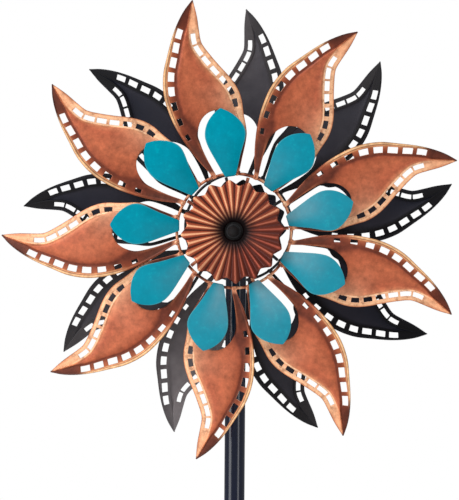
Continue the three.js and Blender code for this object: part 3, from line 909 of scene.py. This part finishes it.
def charcoal_sheet(settings):
    """Charcoal powder coat: darker bands round the windows, a grey painted sheen on some petals."""
    f = Finish("charcoal sheet")
    across, along = f.uv()
    place = f.object_place()
    cloud = f.noise(place, 40.0, 4.0, 0.6)
    grain = f.noise(place, 600.0, 2.0, 0.7)
    sheen = f.attribute("sheen")
    colour = across.ramp([
        (0.0, tint(8, 8, 12)), (0.05, tint(30, 30, 38)), (0.09, tint(10, 10, 15)), (0.20, tint(14, 14, 20)),
        (0.29, tint(8, 8, 12)), (0.36, settings.charcoal), (0.5, tint(26, 28, 40)), (0.66, tint(20, 22, 32)),
        (0.72, tint(8, 8, 12)), (0.82, tint(14, 14, 19)), (0.92, tint(12, 12, 17)), (0.96, tint(30, 30, 38)),
        (1.0, tint(8, 8, 12)),
    ])
    # A grey painted sheen, set per petal, strongest towards the tip and the trailing side.
    painted_highlight = sheen * (0.6 + along.step(0.30, 0.80) * 0.4) * (0.45 + across.step(0.1, 0.6) * 0.55)
    colour = f.mix(painted_highlight * (0.5 + cloud * 0.5), colour, tint(122, 116, 118))
    colour = f.shade(colour, 0.75 + cloud * 0.5)
    return f.finish_with(
        base_color=colour, metallic=0.0, roughness=0.44 + cloud * 0.2, specular_ior_level=0.18,
        normal=f.bump(grain, 0.08, 0.0003),
    )


def powder_coat(name, colour, roughness, coat=0.0):
    """Black powder coat with a fine orange peel."""
    f = Finish(name)
    place = f.object_place()
    cloud = f.noise(place, 22.0, 4.0, 0.6)
    peel = f.noise(place, 900.0, 1.0, 0.5)
    shade = f.mix(cloud, [c * 0.75 for c in colour], [c * 1.3 for c in colour])
    return f.finish_with(
        base_color=shade, metallic=0.0, roughness=roughness + cloud * 0.12, coat_weight=coat,
        coat_roughness=0.08, normal=f.bump(peel, 0.02, 0.0002),
    )


def turned_steel(name):
    """Zinc-bright steel with fine turning marks."""
    f = Finish(name)
    place = f.object_place()
    cloud = f.noise(place, 90.0, 3.0, 0.6)
    colour = f.mix(cloud, tint(150, 150, 156), tint(196, 196, 200))
    return f.finish_with(
        base_color=colour, metallic=1.0, roughness=0.28 + cloud * 0.2,
        normal=f.bump(f.noise(place, 1500.0, 1.0, 0.5), 0.05, 0.0002),
    )


_finishes = {}


def finish(name):
    """Each finish is made once."""
    settings = bpy.context.scene.wind_spinner
    makers = {
        "copper_sheet": lambda: copper_sheet(settings),
        "copper_wire": copper_wire,
        "copper_cup": copper_cup,
        "teal_sheet": lambda: teal_enamel(settings),
        "black_sheet": lambda: charcoal_sheet(settings),
        "black_wire": lambda: powder_coat("black wire", tint(34, 34, 40), 0.42),
        # The copper petals' pale cut edges are a painted highlight.
        "copper_edge_highlight": lambda: mottled_cut_edge("copper edge highlight", tint(240, 186, 156)),
        "teal_edge": lambda: mottled_cut_edge("teal edge", tint(30, 110, 124)),
        "black_edge": lambda: mottled_cut_edge("black edge", tint(34, 34, 40)),
        "black_tube": lambda: powder_coat("black tube", tint(12, 19, 40), 0.14, 0.5),
        "sealed_bearing": lambda: powder_coat("sealed bearing", tint(8, 5, 7), 0.8),
        "burnt_fittings": lambda: powder_coat("burnt fittings", tint(6, 3, 6), 0.8),
        "black_fittings": lambda: powder_coat("black fittings", tint(26, 26, 30), 0.34),
        "bare_steel": lambda: turned_steel("bare steel"),
    }
    if name not in _finishes:
        _finishes[name] = makers[name]()
    return _finishes[name]


# ---------------------------------------------------------------- operators


class StagePiece(bpy.types.Operator):
    """Pale floor, soft studio light and the camera"""

    bl_idname = "spinner.stage"
    bl_label = "Stage"

    def execute(self, context):
        self.floor()
        self.lights()
        self.camera()
        return {"FINISHED"}

    def floor(self):
        bm = bmesh.new()
        bmesh.ops.create_circle(bm, cap_ends=True, segments=96, radius=FLOOR_RADIUS)
        bmesh.ops.translate(bm, verts=bm.verts, vec=(0, 0, CAD_BOX[0].z - FLOOR_GAP))
        mesh = bpy.data.meshes.new("floor")
        bm.to_mesh(mesh)
        bm.free()
        floor = bpy.data.objects.new("floor", mesh)
        bpy.context.scene.collection.objects.link(floor)
        f = Finish("pale floor")
        cloud = f.noise(f.object_place(), 3.0, 3.0, 0.5)
        colour = f.mix(cloud, tint(236, 236, 234), tint(246, 246, 245))
        mesh.materials.append(f.finish_with(base_color=colour, roughness=0.8))

    def lights(self):
        world = bpy.data.worlds.new("studio")
        bpy.context.scene.world = world
        world.use_nodes = True
        room = world.node_tree
        room.nodes.clear()
        path = room.nodes.new("ShaderNodeLightPath")
        shader = self.backdrop(room, ROOM_LIGHT)
        for ray, strength in (("Is Glossy Ray", ROOM_SHINE), ("Is Camera Ray", 1.0)):
            choice = room.nodes.new("ShaderNodeMixShader")
            sources = (path.outputs[ray], shader, self.backdrop(room, strength))
            for socket, source in zip(choice.inputs, sources):
                room.links.new(source, socket)
            shader = choice.outputs[0]
        room.links.new(shader, room.nodes.new("ShaderNodeOutputWorld").inputs["Surface"])
        hub = FRONT.centre
        for name, from_hub, size, power in SOFT_BOXES:
            self.soft_box(name, hub + Vector(from_hub), hub, size, power)

    def backdrop(self, room, strength):
        node = room.nodes.new("ShaderNodeBackground")
        node.inputs["Color"].default_value = (1, 1, 1, 1)
        node.inputs["Strength"].default_value = strength
        return node.outputs[0]

    def soft_box(self, name, place, target, size, power):
        light = bpy.data.lights.new(name, "AREA")
        light.shape = "RECTANGLE"
        light.size, light.size_y = size
        light.energy = power
        lamp = bpy.data.objects.new(name, light)
        lamp.location = place
        lamp.rotation_euler = (target - place).to_track_quat("-Z", "Y").to_euler()
        bpy.context.scene.collection.objects.link(lamp)

    def camera(self):
        data = bpy.data.cameras.new("camera")
        data.lens = CAMERA_LENS
        data.sensor_width = SENSOR_WIDTH
        data.shift_x, data.shift_y = CAMERA_SHIFT
        camera = bpy.data.objects.new("camera", data)
        camera.location = FRONT.centre + Vector(CAMERA_FROM_HUB)
        yaw, pitch, roll = (math.radians(angle) for angle in CAMERA_TURN)
        turn = Matrix.Rotation(yaw, 3, "Z") @ Matrix.Rotation(math.pi / 2 + pitch, 3, "X")
        camera.rotation_euler = (turn @ Matrix.Rotation(roll, 3, "Z")).to_euler()
        bpy.context.scene.collection.objects.link(camera)
        bpy.context.scene.camera = camera
        bpy.context.scene.view_settings.view_transform = "Standard"


# Name, place from the front hub, width and height, and power in watts.
SOFT_BOXES = [
    ("key", (-1.1, -1.7, 1.5), (1.0, 1.0), 30), ("left strip", (-1.55, -1.25, -0.35), (0.95, 2.2), 16),
    ("right strip", (1.45, -1.35, -0.35), (0.50, 2.2), 7), ("rear", (0.9, 2.0, 0.9), (1.4, 1.4), 18),
]
FLOOR_RADIUS = 2.6
FLOOR_GAP = 2 * MM  # floor below the spike's point
SENSOR_WIDTH = 36
ROOM_LIGHT = 0.62
ROOM_SHINE = 0.20  # the room as glossy pieces reflect it
CAMERA_LENS = 82.31
CAMERA_SHIFT = (-0.11, -0.07)
CAMERA_FROM_HUB = (0.0838, -1.3712, 0.0673)
CAMERA_TURN = (0.966, -1.988, 0.509)  # degrees turned to the left, tilted up and rolled to the left


class CopperPetals(bpy.types.Operator):
    """Nine pressed copper petals of the front wheel"""

    bl_idname = "spinner.copper_petals"
    bl_label = "Copper Petals"

    def execute(self, context):
        settings = context.scene.wind_spinner
        for node in COPPER_PETALS:
            bm, turn = pressed_petal(FRONT, node, settings)
            piece = finish_piece(
                node.replace("copper_petal", "pressed_copper_petal"), bm, FRONT.place @ turn,
                finish("copper_sheet"), FRONT.body, node,
            )
            sheet_metal(piece, "copper_edge_highlight")
        return {"FINISHED"}


class BlackPetals(bpy.types.Operator):
    """Nine charcoal petals of the rear wheel, the same pressing turned round"""

    bl_idname = "spinner.black_petals"
    bl_label = "Black Petals"

    def execute(self, context):
        settings = context.scene.wind_spinner
        for i, node in enumerate(BLACK_PETALS):
            bm, turn = pressed_petal(REAR, node, settings)
            sheen = bm.verts.layers.float.new("sheen")
            for vert in bm.verts:
                vert[sheen] = TIP_SHEEN[i]
            piece = finish_piece(
                node.replace("black_petal", "pressed_black_petal"), bm, REAR.place @ turn,
                finish("black_sheet"), REAR.body, node,
            )
            sheet_metal(piece, "black_edge")
        return {"FINISHED"}


TIP_SHEEN = [0.38, 0.12, 0.0, 0.0, 0.15, 1.5, 0.35, 0.02, 0.0]  # how far each black petal is lightened grey by a painted sheen
BLADE_ROOT_REFLECTION = [0.05, 0.3, 0.8, 0.9, 1.0, 0.8, 0.3, 0.1, 0.05]  # how far each blade's root is greyed by a painted reflection
BLADE_BREADTH = 49.5 * MM
BLADE_RISE = 10 * MM
BLADE_RISE_END = 0.6
BLADE_ROWS = 14
BLADE_COLUMNS = 10


class TealBlades(bpy.types.Operator):
    """Nine dished teal blades over the petals' cut-outs"""

    bl_idname = "spinner.teal_blades"
    bl_label = "Teal Blades"

    def execute(self, context):
        settings = context.scene.wind_spinner
        for i, node in enumerate(TEAL_BLADES):
            bm, place = self.dished_blade(node, settings, BLADE_ROOT_REFLECTION[i])
            piece = finish_piece(
                node.replace("teal_blade", "dished_teal_blade"), bm, FRONT.place @ place,
                finish("teal_sheet"), FRONT.body, node,
            )
            sheet_metal(piece, "teal_edge")
        return {"FINISHED"}

    def dished_blade(self, node, settings, root_reflection_share):
        root, angle, length = FRONT.blade_place(node)
        low = FRONT.heights(node)[0]
        outline = [(along * length, across * BLADE_BREADTH) for along, across in BLADE_EDGE]
        tip = max(range(len(outline)), key=lambda i: outline[i][0])
        left = Edge(outline[:tip + 1])
        right = Edge(outline[tip:][::-1])
        bm = bmesh.new()
        bmesh.ops.create_grid(bm, x_segments=BLADE_COLUMNS, y_segments=BLADE_ROWS, size=1)
        sheet_uv = bm.loops.layers.uv.new("Sheet")
        wash = bm.verts.layers.float.new("wash")
        shares = {}
        for vert in bm.verts:
            across = (vert.co.x + 1) / 2
            along = (vert.co.y + 1) / 2
            shares[vert] = (across, along)
            walk = 0.985 * along
            start, end = left.at(walk), right.at(walk)
            place = start.lerp(end, across)
            bend = math.sin(math.pi * across) * (start - end).length * 0.16 * smooth_step(along, 0.72, 1)
            swell = math.sin(math.pi * min(1, along * 0.98 + 0.02))
            dish = settings.blade_dish * math.sin(math.pi * across) * swell
            rise = BLADE_RISE * smooth_step(place.x, 0, BLADE_RISE_END * length)
            vert.co = (place.x + bend, place.y, low + settings.petal_sheet + rise + dish)
            vert[wash] = root_reflection_share
        for face in bm.faces:
            for loop in face.loops:
                loop[sheet_uv].uv = shares[loop.vert]
        face_outwards(bm)
        place = Matrix.Translation((root.x, root.y, 0)) @ Matrix.Rotation(angle, 4, "Z")
        return bm, place


FLUTES = 32
LOBES = 16
CUP_PHASE = math.radians(4)
# The side of each cup that takes the painted light; the opposite side takes painted shade.
CUP_PAINTED_LIGHT_SIDE = math.radians(150)
CUP_SHEET = 0.9 * MM
CUP_SEAT_WIDTH = 3.2 * MM
CUP_SCALLOP = 6.5 * MM
CUP_STEPS = 256


class Cups(bpy.types.Operator):
    """The fluted cup on the outer face of each wheel"""

    bl_idname = "spinner.cups"
    bl_label = "Fluted Cups"

    def execute(self, context):
        settings = context.scene.wind_spinner
        for wheel, surface, slot in (
            (FRONT, "copper_cup", "copper_sheet"), (REAR, "black_sheet", "black_sheet"),
        ):
            node = wheel.side + "_cup"
            bm = self.fluted(wheel, node, settings)
            piece = finish_piece(
                node.replace("cup", "fluted_cup"), bm, wheel.place, finish(surface),
                wheel.body, node, 80,
            )
            wall = piece.modifiers.new("Sheet", "SOLIDIFY")
            wall.thickness = CUP_SHEET
            wall.offset = -1
        return {"FINISHED"}

    def fluted(self, wheel, node, settings):
        low = wheel.heights(node)[0] + CUP_SHEET
        high = wheel.heights(node)[1] - settings.flute_depth / 2
        seat, rim = wheel.radii(node)
        wall = seat + CUP_SEAT_WIDTH
        bm = bmesh.new()
        profile = [(seat, low)]
        for i in range(15):
            part = i / 14
            profile.append((wall + (rim - wall) * part, low + (high - low) * part ** 1.1))
        line = [bm.verts.new((radius, 0, height)) for radius, height in profile]
        edges = [bm.edges.new(pair) for pair in zip(line, line[1:])]
        bmesh.ops.spin(
            bm, geom=line + edges, cent=(0, 0, 0), axis=(0, 0, 1), angle=2 * math.pi,
            steps=CUP_STEPS, use_merge=True,
        )
        bmesh.ops.remove_doubles(bm, verts=bm.verts, dist=1e-6)
        ridge = bm.verts.layers.float.new("ridge")
        painted_light_and_polish = bm.verts.layers.float.new("painted_light_and_polish")
        sheet_uv = bm.loops.layers.uv.new("Sheet")
        draw = random.Random(11)
        polish = [draw.random() for _ in range(FLUTES)]
        shares = {}
        for vert in bm.verts:
            radius = vert.co.xy.length
            angle = math.atan2(vert.co.y, vert.co.x) - CUP_PHASE
            share = max(0, (radius - wall) / (rim - wall))
            wave = math.cos(FLUTES * angle)
            fold = math.copysign(abs(wave) ** 0.8, wave)
            dip = CUP_SCALLOP * share ** 2 * (1 - math.cos(LOBES * angle)) / 2
            vert[ridge] = (1 + wave) / 2
            # Painted light and shade by side, plus a random polish per flute.
            side = (1 + math.cos(angle - CUP_PAINTED_LIGHT_SIDE)) / 2
            vert[painted_light_and_polish] = 0.8 * side + 0.3 * polish[round(FLUTES * angle / math.tau) % FLUTES]
            shares[vert] = (angle / math.tau % 1, share)
            vert.co.z += settings.flute_depth / 2 * share ** 0.8 * fold - 0.5 * dip
            vert.co.x *= 1 - dip / radius
            vert.co.y *= 1 - dip / radius
        for face in bm.faces:
            for loop in face.loops:
                loop[sheet_uv].uv = shares[loop.vert]
        face_outwards(bm)
        return bm


COLLAR_WALL = 3 * MM
SPOKE_RADIUS = 2 * MM
SPOKE_SINK = 1 * MM  # how far a spoke reaches into its collar
LEG_PLACES = (-0.19, 0.14)  # middles of a petal's legs at the ring, as shares of its breadth
BEAD_LUMPS = 0.22


class RingsAndSpokes(bpy.types.Operator):
    """The wire ring, the spider and the weld beads of each wheel"""

    bl_idname = "spinner.rings"
    bl_label = "Rings and Spokes"

    def execute(self, context):
        for wheel, surface in ((FRONT, "copper_wire"), (REAR, "black_wire")):
            self.ring(wheel, surface)
            self.spider(wheel, surface)
            self.welds(wheel, surface)
        return {"FINISHED"}

    def ring(self, wheel, surface):
        half = wheel.wire / 2
        section = []
        for i in range(16):
            angle = math.tau * i / 16
            section.append((wheel.ring_radius + half * math.cos(angle), half * math.sin(angle)))
        finish_piece(
            wheel.side + "_wire_ring", turned(section, 160), wheel.place, finish(surface),
            wheel.body, wheel.side + "_ring", 60,
        )

    def spider(self, wheel, surface):
        node = wheel.side + "_spider"
        points = wheel.points(node)
        inner, reach = wheel.radii(node)
        top = max(p.z for p in points)
        low = min(p.z for p in points if p.xy.length < inner + 4 * MM)
        outer = inner + COLLAR_WALL
        bm = turned([(inner, low), (outer, low), (outer, top), (inner, top)], 64)
        far = [p for p in points if p.xy.length > reach - 0.2 * MM]
        angles = sorted({round(math.degrees(math.atan2(p.y, p.x))) for p in far})
        groups = []
        for angle in angles:
            if groups and angle - groups[-1][-1] < 20:
                groups[-1].append(angle)
            else:
                groups.append([angle])
        for group in groups:
            middle = math.radians(sum(group) / len(group))
            made = bmesh.ops.create_cone(
                bm, cap_ends=True, segments=16, radius1=SPOKE_RADIUS, radius2=SPOKE_RADIUS,
                depth=reach - outer + SPOKE_SINK,
            )
            matrix = (
                Matrix.Rotation(middle, 4, "Z")
                @ Matrix.Translation(((reach + outer - SPOKE_SINK) / 2, 0, 0))
                @ Matrix.Rotation(math.pi / 2, 4, "Y")
            )
            bmesh.ops.transform(bm, matrix=matrix, verts=made["verts"])
        finish_piece(
            wheel.side + "_spokes", bm, wheel.place, finish(surface), wheel.body, node,
        )

    def welds(self, wheel, surface):
        """A bead where each petal's leg meets the ring."""
        petals = COPPER_PETALS if wheel.side == "front" else BLACK_PETALS
        draw = random.Random(7)
        bm = bmesh.new()
        for node in petals:
            angle, _ = wheel.petal_turn(node)
            for across in LEG_PLACES:
                place = Vector((wheel.ring_radius, across * PETAL_BREADTH, wheel.wire / 2 + 0.7 * MM))
                size = (draw.uniform(2.2, 3.2) * MM, draw.uniform(2.6, 3.6) * MM, draw.uniform(1.2, 1.7) * MM)
                made = bmesh.ops.create_icosphere(bm, subdivisions=3, radius=1)
                for vert in made["verts"]:
                    spot = vert.co * 1.8 + Vector((angle * 9, across * 30, 0))
                    vert.co *= 1 + BEAD_LUMPS * noise.noise(spot)
                matrix = Matrix.Translation(place) @ Matrix.Diagonal((*size, 1))
                matrix = Matrix.Rotation(angle, 4, "Z") @ matrix
                bmesh.ops.transform(bm, matrix=matrix, verts=made["verts"])
        finish_piece(
            wheel.side + "_weld_beads", bm, wheel.place, finish(surface), wheel.body, None,
            80,
        )


BEARING_POCKET = 7.3 * MM
RACE_SHARE = 0.2  # share of a bearing's wall that each race takes
SHIELD_RECESS = 0.4 * MM
NUT_DOME_STEP = 0.5 * MM  # from a flat in to the dome
NUT_CROWN = 4 * MM  # from the end of the nut's hole to the dome's top
DOME_STEPS = 8
AXLE_CHAMFER = 0.8 * MM
BOSS_RADIUS = 11 * MM
BOSS_SINK = 4 * MM  # how far a boss reaches into the sleeve


class HubsAndAxle(bpy.types.Operator):
    """Hubs, bearings, axle, spacers, washers, cap nuts and the head bracket"""

    bl_idname = "spinner.hubs"
    bl_label = "Hubs and Axle"

    def execute(self, context):
        for wheel in (FRONT, REAR):
            self.hub(wheel)
            for name in ("outer_bearing", "inner_bearing"):
                self.bearing(wheel, f"{wheel.side}_{name}")
            self.plain_ring(wheel, wheel.side + "_spacer", "bare_steel")
            self.plain_ring(wheel, wheel.side + "_washer", "black_fittings")
            self.cap_nut(wheel)
        self.axle()
        self.head()
        return {"FINISHED"}

    def plain_ring(self, wheel, node, surface):
        """A turned ring of the node's own radii and height, its edges broken."""
        inner, outer = wheel.radii(node)
        low, high = wheel.heights(node)
        bm = turned([(inner, low), (outer, low), (outer, high), (inner, high)], 48)
        piece = finish_piece(
            "turned_" + node, bm, wheel.place, finish(surface), "stand", node,
        )
        round_edges(piece, 0.25 * MM)

    def hub(self, wheel):
        node = wheel.side + "_hub"
        shoulder, outer = wheel.radii(node)
        bore = half_width(wheel.side + "_outer_bearing") + SEAT_GAP
        low, high = wheel.heights(node)
        bm = turned([
            (bore, low), (outer, low), (outer, high), (bore, high), (bore, high - BEARING_POCKET),
            (shoulder, high - BEARING_POCKET), (shoulder, low + BEARING_POCKET), (bore, low + BEARING_POCKET),
        ])
        piece = finish_piece(
            "turned_" + node, bm, wheel.place, finish("black_fittings"), wheel.body, node,
        )
        round_edges(piece, 0.4 * MM)

    def bearing(self, wheel, node):
        """Outer race, recessed shield and inner race in one turned outline."""
        inner, outer = wheel.radii(node)
        low, high = wheel.heights(node)
        race = (outer - inner) * RACE_SHARE
        recess = SHIELD_RECESS
        bm = turned([
            (inner, low), (inner + race, low), (inner + race, low + recess), (outer - race, low + recess),
            (outer - race, low), (outer, low), (outer, high), (outer - race, high),
            (outer - race, high - recess), (inner + race, high - recess), (inner + race, high), (inner, high),
        ])
        piece = finish_piece(
            "sealed_" + node, bm, wheel.place, finish("sealed_bearing"), wheel.body, node,
        )
        round_edges(piece, 0.15 * MM)

    def cap_nut(self, wheel):
        node = wheel.side + "_cap_nut"
        low, high = wheel.heights(node)
        points = wheel.points(node)
        base = [p.xy.length for p in points if p.z < low + 0.1 * MM]
        corner = max(base)
        bore = min(base)
        flats = corner * math.cos(math.pi / 6)
        dome = flats - NUT_DOME_STEP
        hexagon_top = high - dome
        bm = bmesh.new()
        bmesh.ops.create_cone(
            bm, cap_ends=True, segments=6, radius1=corner, radius2=corner, depth=hexagon_top - low,
            matrix=Matrix.Translation((0, 0, (hexagon_top + low) / 2)),
        )
        top = max(bm.faces, key=lambda f: f.calc_center_median().z)
        bottom = min(bm.faces, key=lambda f: f.calc_center_median().z)
        bmesh.ops.delete(bm, geom=[top, bottom], context="FACES_ONLY")
        rims = [[e for e in bm.edges if all(v.co.z > hexagon_top - MM for v in e.verts)],
                [e for e in bm.edges if all(v.co.z < low + MM for v in e.verts)]]
        for edges, radius in zip(rims, (dome, bore)):
            circle = bmesh.ops.create_circle(bm, cap_ends=False, segments=36, radius=radius)
            level = hexagon_top if radius == dome else low
            bmesh.ops.translate(bm, verts=circle["verts"], vec=(0, 0, level))
            ring = [e for e in bm.edges if all(v in circle["verts"] for v in e.verts)]
            bmesh.ops.bridge_loops(bm, edges=edges + ring)
            if radius == dome:
                self.round_dome(bm, ring, dome, hexagon_top)
            else:
                self.bore(bm, ring, high - NUT_CROWN)
        bmesh.ops.recalc_face_normals(bm, faces=bm.faces)
        piece = finish_piece(
            "domed_" + node, bm, wheel.place, finish("burnt_fittings"), "stand", node,
        )
        round_edges(piece, 0.3 * MM)

    def round_dome(self, bm, ring, radius, level):
        """Extrudes the rim up in rounds and closes it at the crown."""
        for i in range(1, DOME_STEPS):
            angle = math.pi / 2 * i / DOME_STEPS
            made = bmesh.ops.extrude_edge_only(bm, edges=ring)["geom"]
            ring = [g for g in made if isinstance(g, bmesh.types.BMEdge)]
            verts = [g for g in made if isinstance(g, bmesh.types.BMVert)]
            for vert in verts:
                around = math.atan2(vert.co.y, vert.co.x)
                vert.co = (
                    radius * math.cos(angle) * math.cos(around), radius * math.cos(angle) * math.sin(around),
                    level + radius * math.sin(angle),
                )
        crown = bmesh.ops.extrude_edge_only(bm, edges=ring)["geom"]
        verts = [g for g in crown if isinstance(g, bmesh.types.BMVert)]
        bmesh.ops.pointmerge(bm, verts=verts, merge_co=(0, 0, level + radius))

    def bore(self, bm, ring, level):
        """The blind hole that takes the axle's end."""
        made = bmesh.ops.extrude_edge_only(bm, edges=ring)["geom"]
        verts = [g for g in made if isinstance(g, bmesh.types.BMVert)]
        for vert in verts:
            vert.co.z = level
        edges = [g for g in made if isinstance(g, bmesh.types.BMEdge)]
        bmesh.ops.edgeloop_fill(bm, edges=edges)

    def axle(self):
        low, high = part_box("axle")
        radius = half_width("axle")
        half = (high.y - low.y) / 2
        neck = radius - AXLE_CHAMFER
        shoulder = half - AXLE_CHAMFER
        bm = turned([
            (0, -half), (neck, -half), (radius, -shoulder), (radius, shoulder), (neck, half), (0, half),
        ], 48)
        place = Matrix.Translation((low + high) / 2) @ Matrix.Rotation(math.pi / 2, 4, "X")
        finish_piece("steel_axle", bm, place, finish("bare_steel"), "stand", "axle")

    def head(self):
        """A closed sleeve over the pole, with a level boss each side for the axle."""
        low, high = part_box("head_bracket")
        radius = half_width("head_bracket")
        bore = half_width("upper_pole") + SEAT_GAP
        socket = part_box("upper_pole")[1].z + SEAT_GAP
        bm = turned([
            (bore, low.z), (radius, low.z), (radius, high.z), (0, high.z), (0, socket), (bore, socket),
        ])
        centre = FRONT.centre.copy()
        centre.y = 0
        axle_radius = half_width("axle") + SEAT_GAP
        sunk = radius - BOSS_SINK
        reach = (high.y - low.y) / 2
        for side in (-1, 1):
            boss = turned([
                (axle_radius, sunk), (BOSS_RADIUS, sunk), (BOSS_RADIUS, reach), (axle_radius, reach),
            ], 48)
            boss.transform(Matrix.Translation(centre) @ Matrix.Rotation(side * math.pi / 2, 4, "X"))
            part = bpy.data.meshes.new("boss")
            boss.to_mesh(part)
            boss.free()
            bm.from_mesh(part)
            bpy.data.meshes.remove(part)
        piece = finish_piece(
            "cast_head", bm, Matrix.Identity(4), finish("black_fittings"), "stand", "head_bracket",
        )
        round_edges(piece, 0.8 * MM)


POLE_WALL = 1.5 * MM
SPIGOT_LENGTH = 45 * MM  # swaged end that plugs into the section below
SWAGE_LENGTH = 6 * MM
TUBE_EDGE = 0.4 * MM
SHANK_RADIUS = 2.5 * MM
THUMB_HEAD_LENGTH = 8 * MM
THUMB_HEAD_EDGE = 0.8 * MM
KNURL_DEPTH = 0.035
KNURL_COUNT = 24


class Pole(bpy.types.Operator):
    """Three tube sections with their swaged joints and thumb screws"""

    bl_idname = "spinner.pole"
    bl_label = "Pole"

    def execute(self, context):
        for node in ("lower_pole", "middle_pole", "upper_pole"):
            self.section(node)
        for node in ("stake_screw", "lower_joint_screw", "upper_joint_screw"):
            self.thumb_screw(node)
        return {"FINISHED"}

    def section(self, node):
        low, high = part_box(node)
        outer = (high.x - low.x) / 2
        bore = outer - POLE_WALL
        plug = bore - SEAT_GAP
        edge = outer - TUBE_EDGE
        foot = [(bore, low.z), (edge, low.z), (outer, low.z + TUBE_EDGE)]
        throat = []
        if node != "lower_pole":
            start = low.z + SPIGOT_LENGTH
            inside = plug - POLE_WALL
            foot = [(inside, low.z), (plug, low.z), (plug, start), (edge, start), (outer, start + TUBE_EDGE)]
            throat = [(bore, start + SWAGE_LENGTH), (inside, start)]
        profile = foot + [(outer, high.z - TUBE_EDGE), (edge, high.z), (bore, high.z)] + throat
        finish_piece(
            "tube_" + node, turned(profile, 96), Matrix.Identity(4), finish("black_tube"), "stand",
            node,
        )

    def thumb_screw(self, node):
        """Knurled head and plain shank, level, pointing to the front."""
        low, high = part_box(node)
        radius = (high.x - low.x) / 2
        length = high.y - low.y
        head = length - THUMB_HEAD_LENGTH
        edge = THUMB_HEAD_EDGE
        bm = turned([
            (0, 0), (SHANK_RADIUS, 0), (SHANK_RADIUS, head), (radius - 0.6 * MM, head), (radius, head + edge),
            (radius, length - edge), (radius - edge, length), (0, length),
        ], 72)
        for vert in bm.verts:
            if vert.co.xy.length > radius - 0.1 * MM:
                notch = 1 - KNURL_DEPTH * (1 + math.cos(KNURL_COUNT * math.atan2(vert.co.y, vert.co.x)))
                vert.co.x *= notch
                vert.co.y *= notch
        place = Matrix.Translation((0, high.y, (low.z + high.z) / 2)) @ Matrix.Rotation(math.pi / 2, 4, "X")
        finish_piece(
            "knurled_" + node, bm, place, finish("black_fittings"), "stand", node,
            25,
        )


SPIKE_POINT = 45 * MM
PRONG_POINT = 28 * MM
STEP_BAR_EDGE = 0.9 * MM


class Stake(bpy.types.Operator):
    """Spike, step bar and the two side prongs"""

    bl_idname = "spinner.stake"
    bl_label = "Stake"

    def execute(self, context):
        for node, point in (
            ("stake_spike", SPIKE_POINT), ("left_prong", PRONG_POINT), ("right_prong", PRONG_POINT),
        ):
            self.pointed(node, point)
        self.step_bar()
        return {"FINISHED"}

    def pointed(self, node, point):
        low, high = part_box(node)
        radius = (high.y - low.y) / 2
        centre = (low + high) / 2
        bm = turned([
            (0, low.z), (0.12 * radius, low.z + 0.6 * MM), (radius, low.z + point),
            (radius, high.z - 0.5 * MM), (radius - 0.5 * MM, high.z), (0, high.z),
        ], 48)
        finish_piece(
            "forged_" + node, bm, Matrix.Translation((centre.x, centre.y, 0)), finish("black_tube"),
            "stand", node,
        )

    def step_bar(self):
        """A flat bar with broken edges and the hole that the spike goes through."""
        low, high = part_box("step_bar")
        hole = half_width("stake_spike") + SEAT_GAP
        bm = bmesh.new()
        bmesh.ops.create_grid(bm, x_segments=2, y_segments=2, size=1)
        bmesh.ops.scale(bm, vec=((high.x - low.x) / 2, (high.y - low.y) / 2, 1), verts=bm.verts)
        bmesh.ops.delete(bm, geom=[v for v in bm.verts if v.co.length < 1e-6], context="VERTS")
        rim = list(bm.edges)
        bmesh.ops.create_circle(bm, cap_ends=False, segments=48, radius=hole)
        ring = [e for e in bm.edges if e not in rim]
        bmesh.ops.bridge_loops(bm, edges=rim + ring)
        bmesh.ops.translate(bm, verts=bm.verts, vec=(0, 0, low.z))
        bmesh.ops.solidify(bm, geom=bm.faces[:], thickness=low.z - high.z)
        bmesh.ops.recalc_face_normals(bm, faces=bm.faces)
        piece = finish_piece(
            "flat_step_bar", bm, Matrix.Identity(4), finish("black_tube"), "stand", "step_bar",
        )
        round_edges(piece, STEP_BAR_EDGE)


PIECES = (StagePiece, CopperPetals, BlackPetals, TealBlades, Cups, RingsAndSpokes, HubsAndAxle, Pole, Stake)


class SpinnerPanel(bpy.types.Panel):
    """Lists the settings and the pieces"""

    bl_idname = "VIEW3D_PT_wind_spinner"
    bl_label = "Wind Spinner"
    bl_space_type = "VIEW_3D"
    bl_region_type = "UI"
    bl_category = "Wind Spinner"

    def draw(self, context):
        settings = context.scene.wind_spinner
        for name in SpinnerSettings.__annotations__:
            self.layout.prop(settings, name)
        for piece in PIECES:
            self.layout.operator(piece.bl_idname)


CLASSES = (SpinnerSettings, *PIECES, SpinnerPanel)


def register():
    for cls in CLASSES:
        bpy.utils.register_class(cls)
    bpy.types.Scene.wind_spinner = PointerProperty(type=SpinnerSettings)


def unregister():
    del bpy.types.Scene.wind_spinner
    for cls in reversed(CLASSES):
        bpy.utils.unregister_class(cls)


def main():
    register()
    for piece in PIECES:
        group, name = piece.bl_idname.split(".")
        getattr(getattr(bpy.ops, group), name)()


if __name__ == "__main__":
    main()
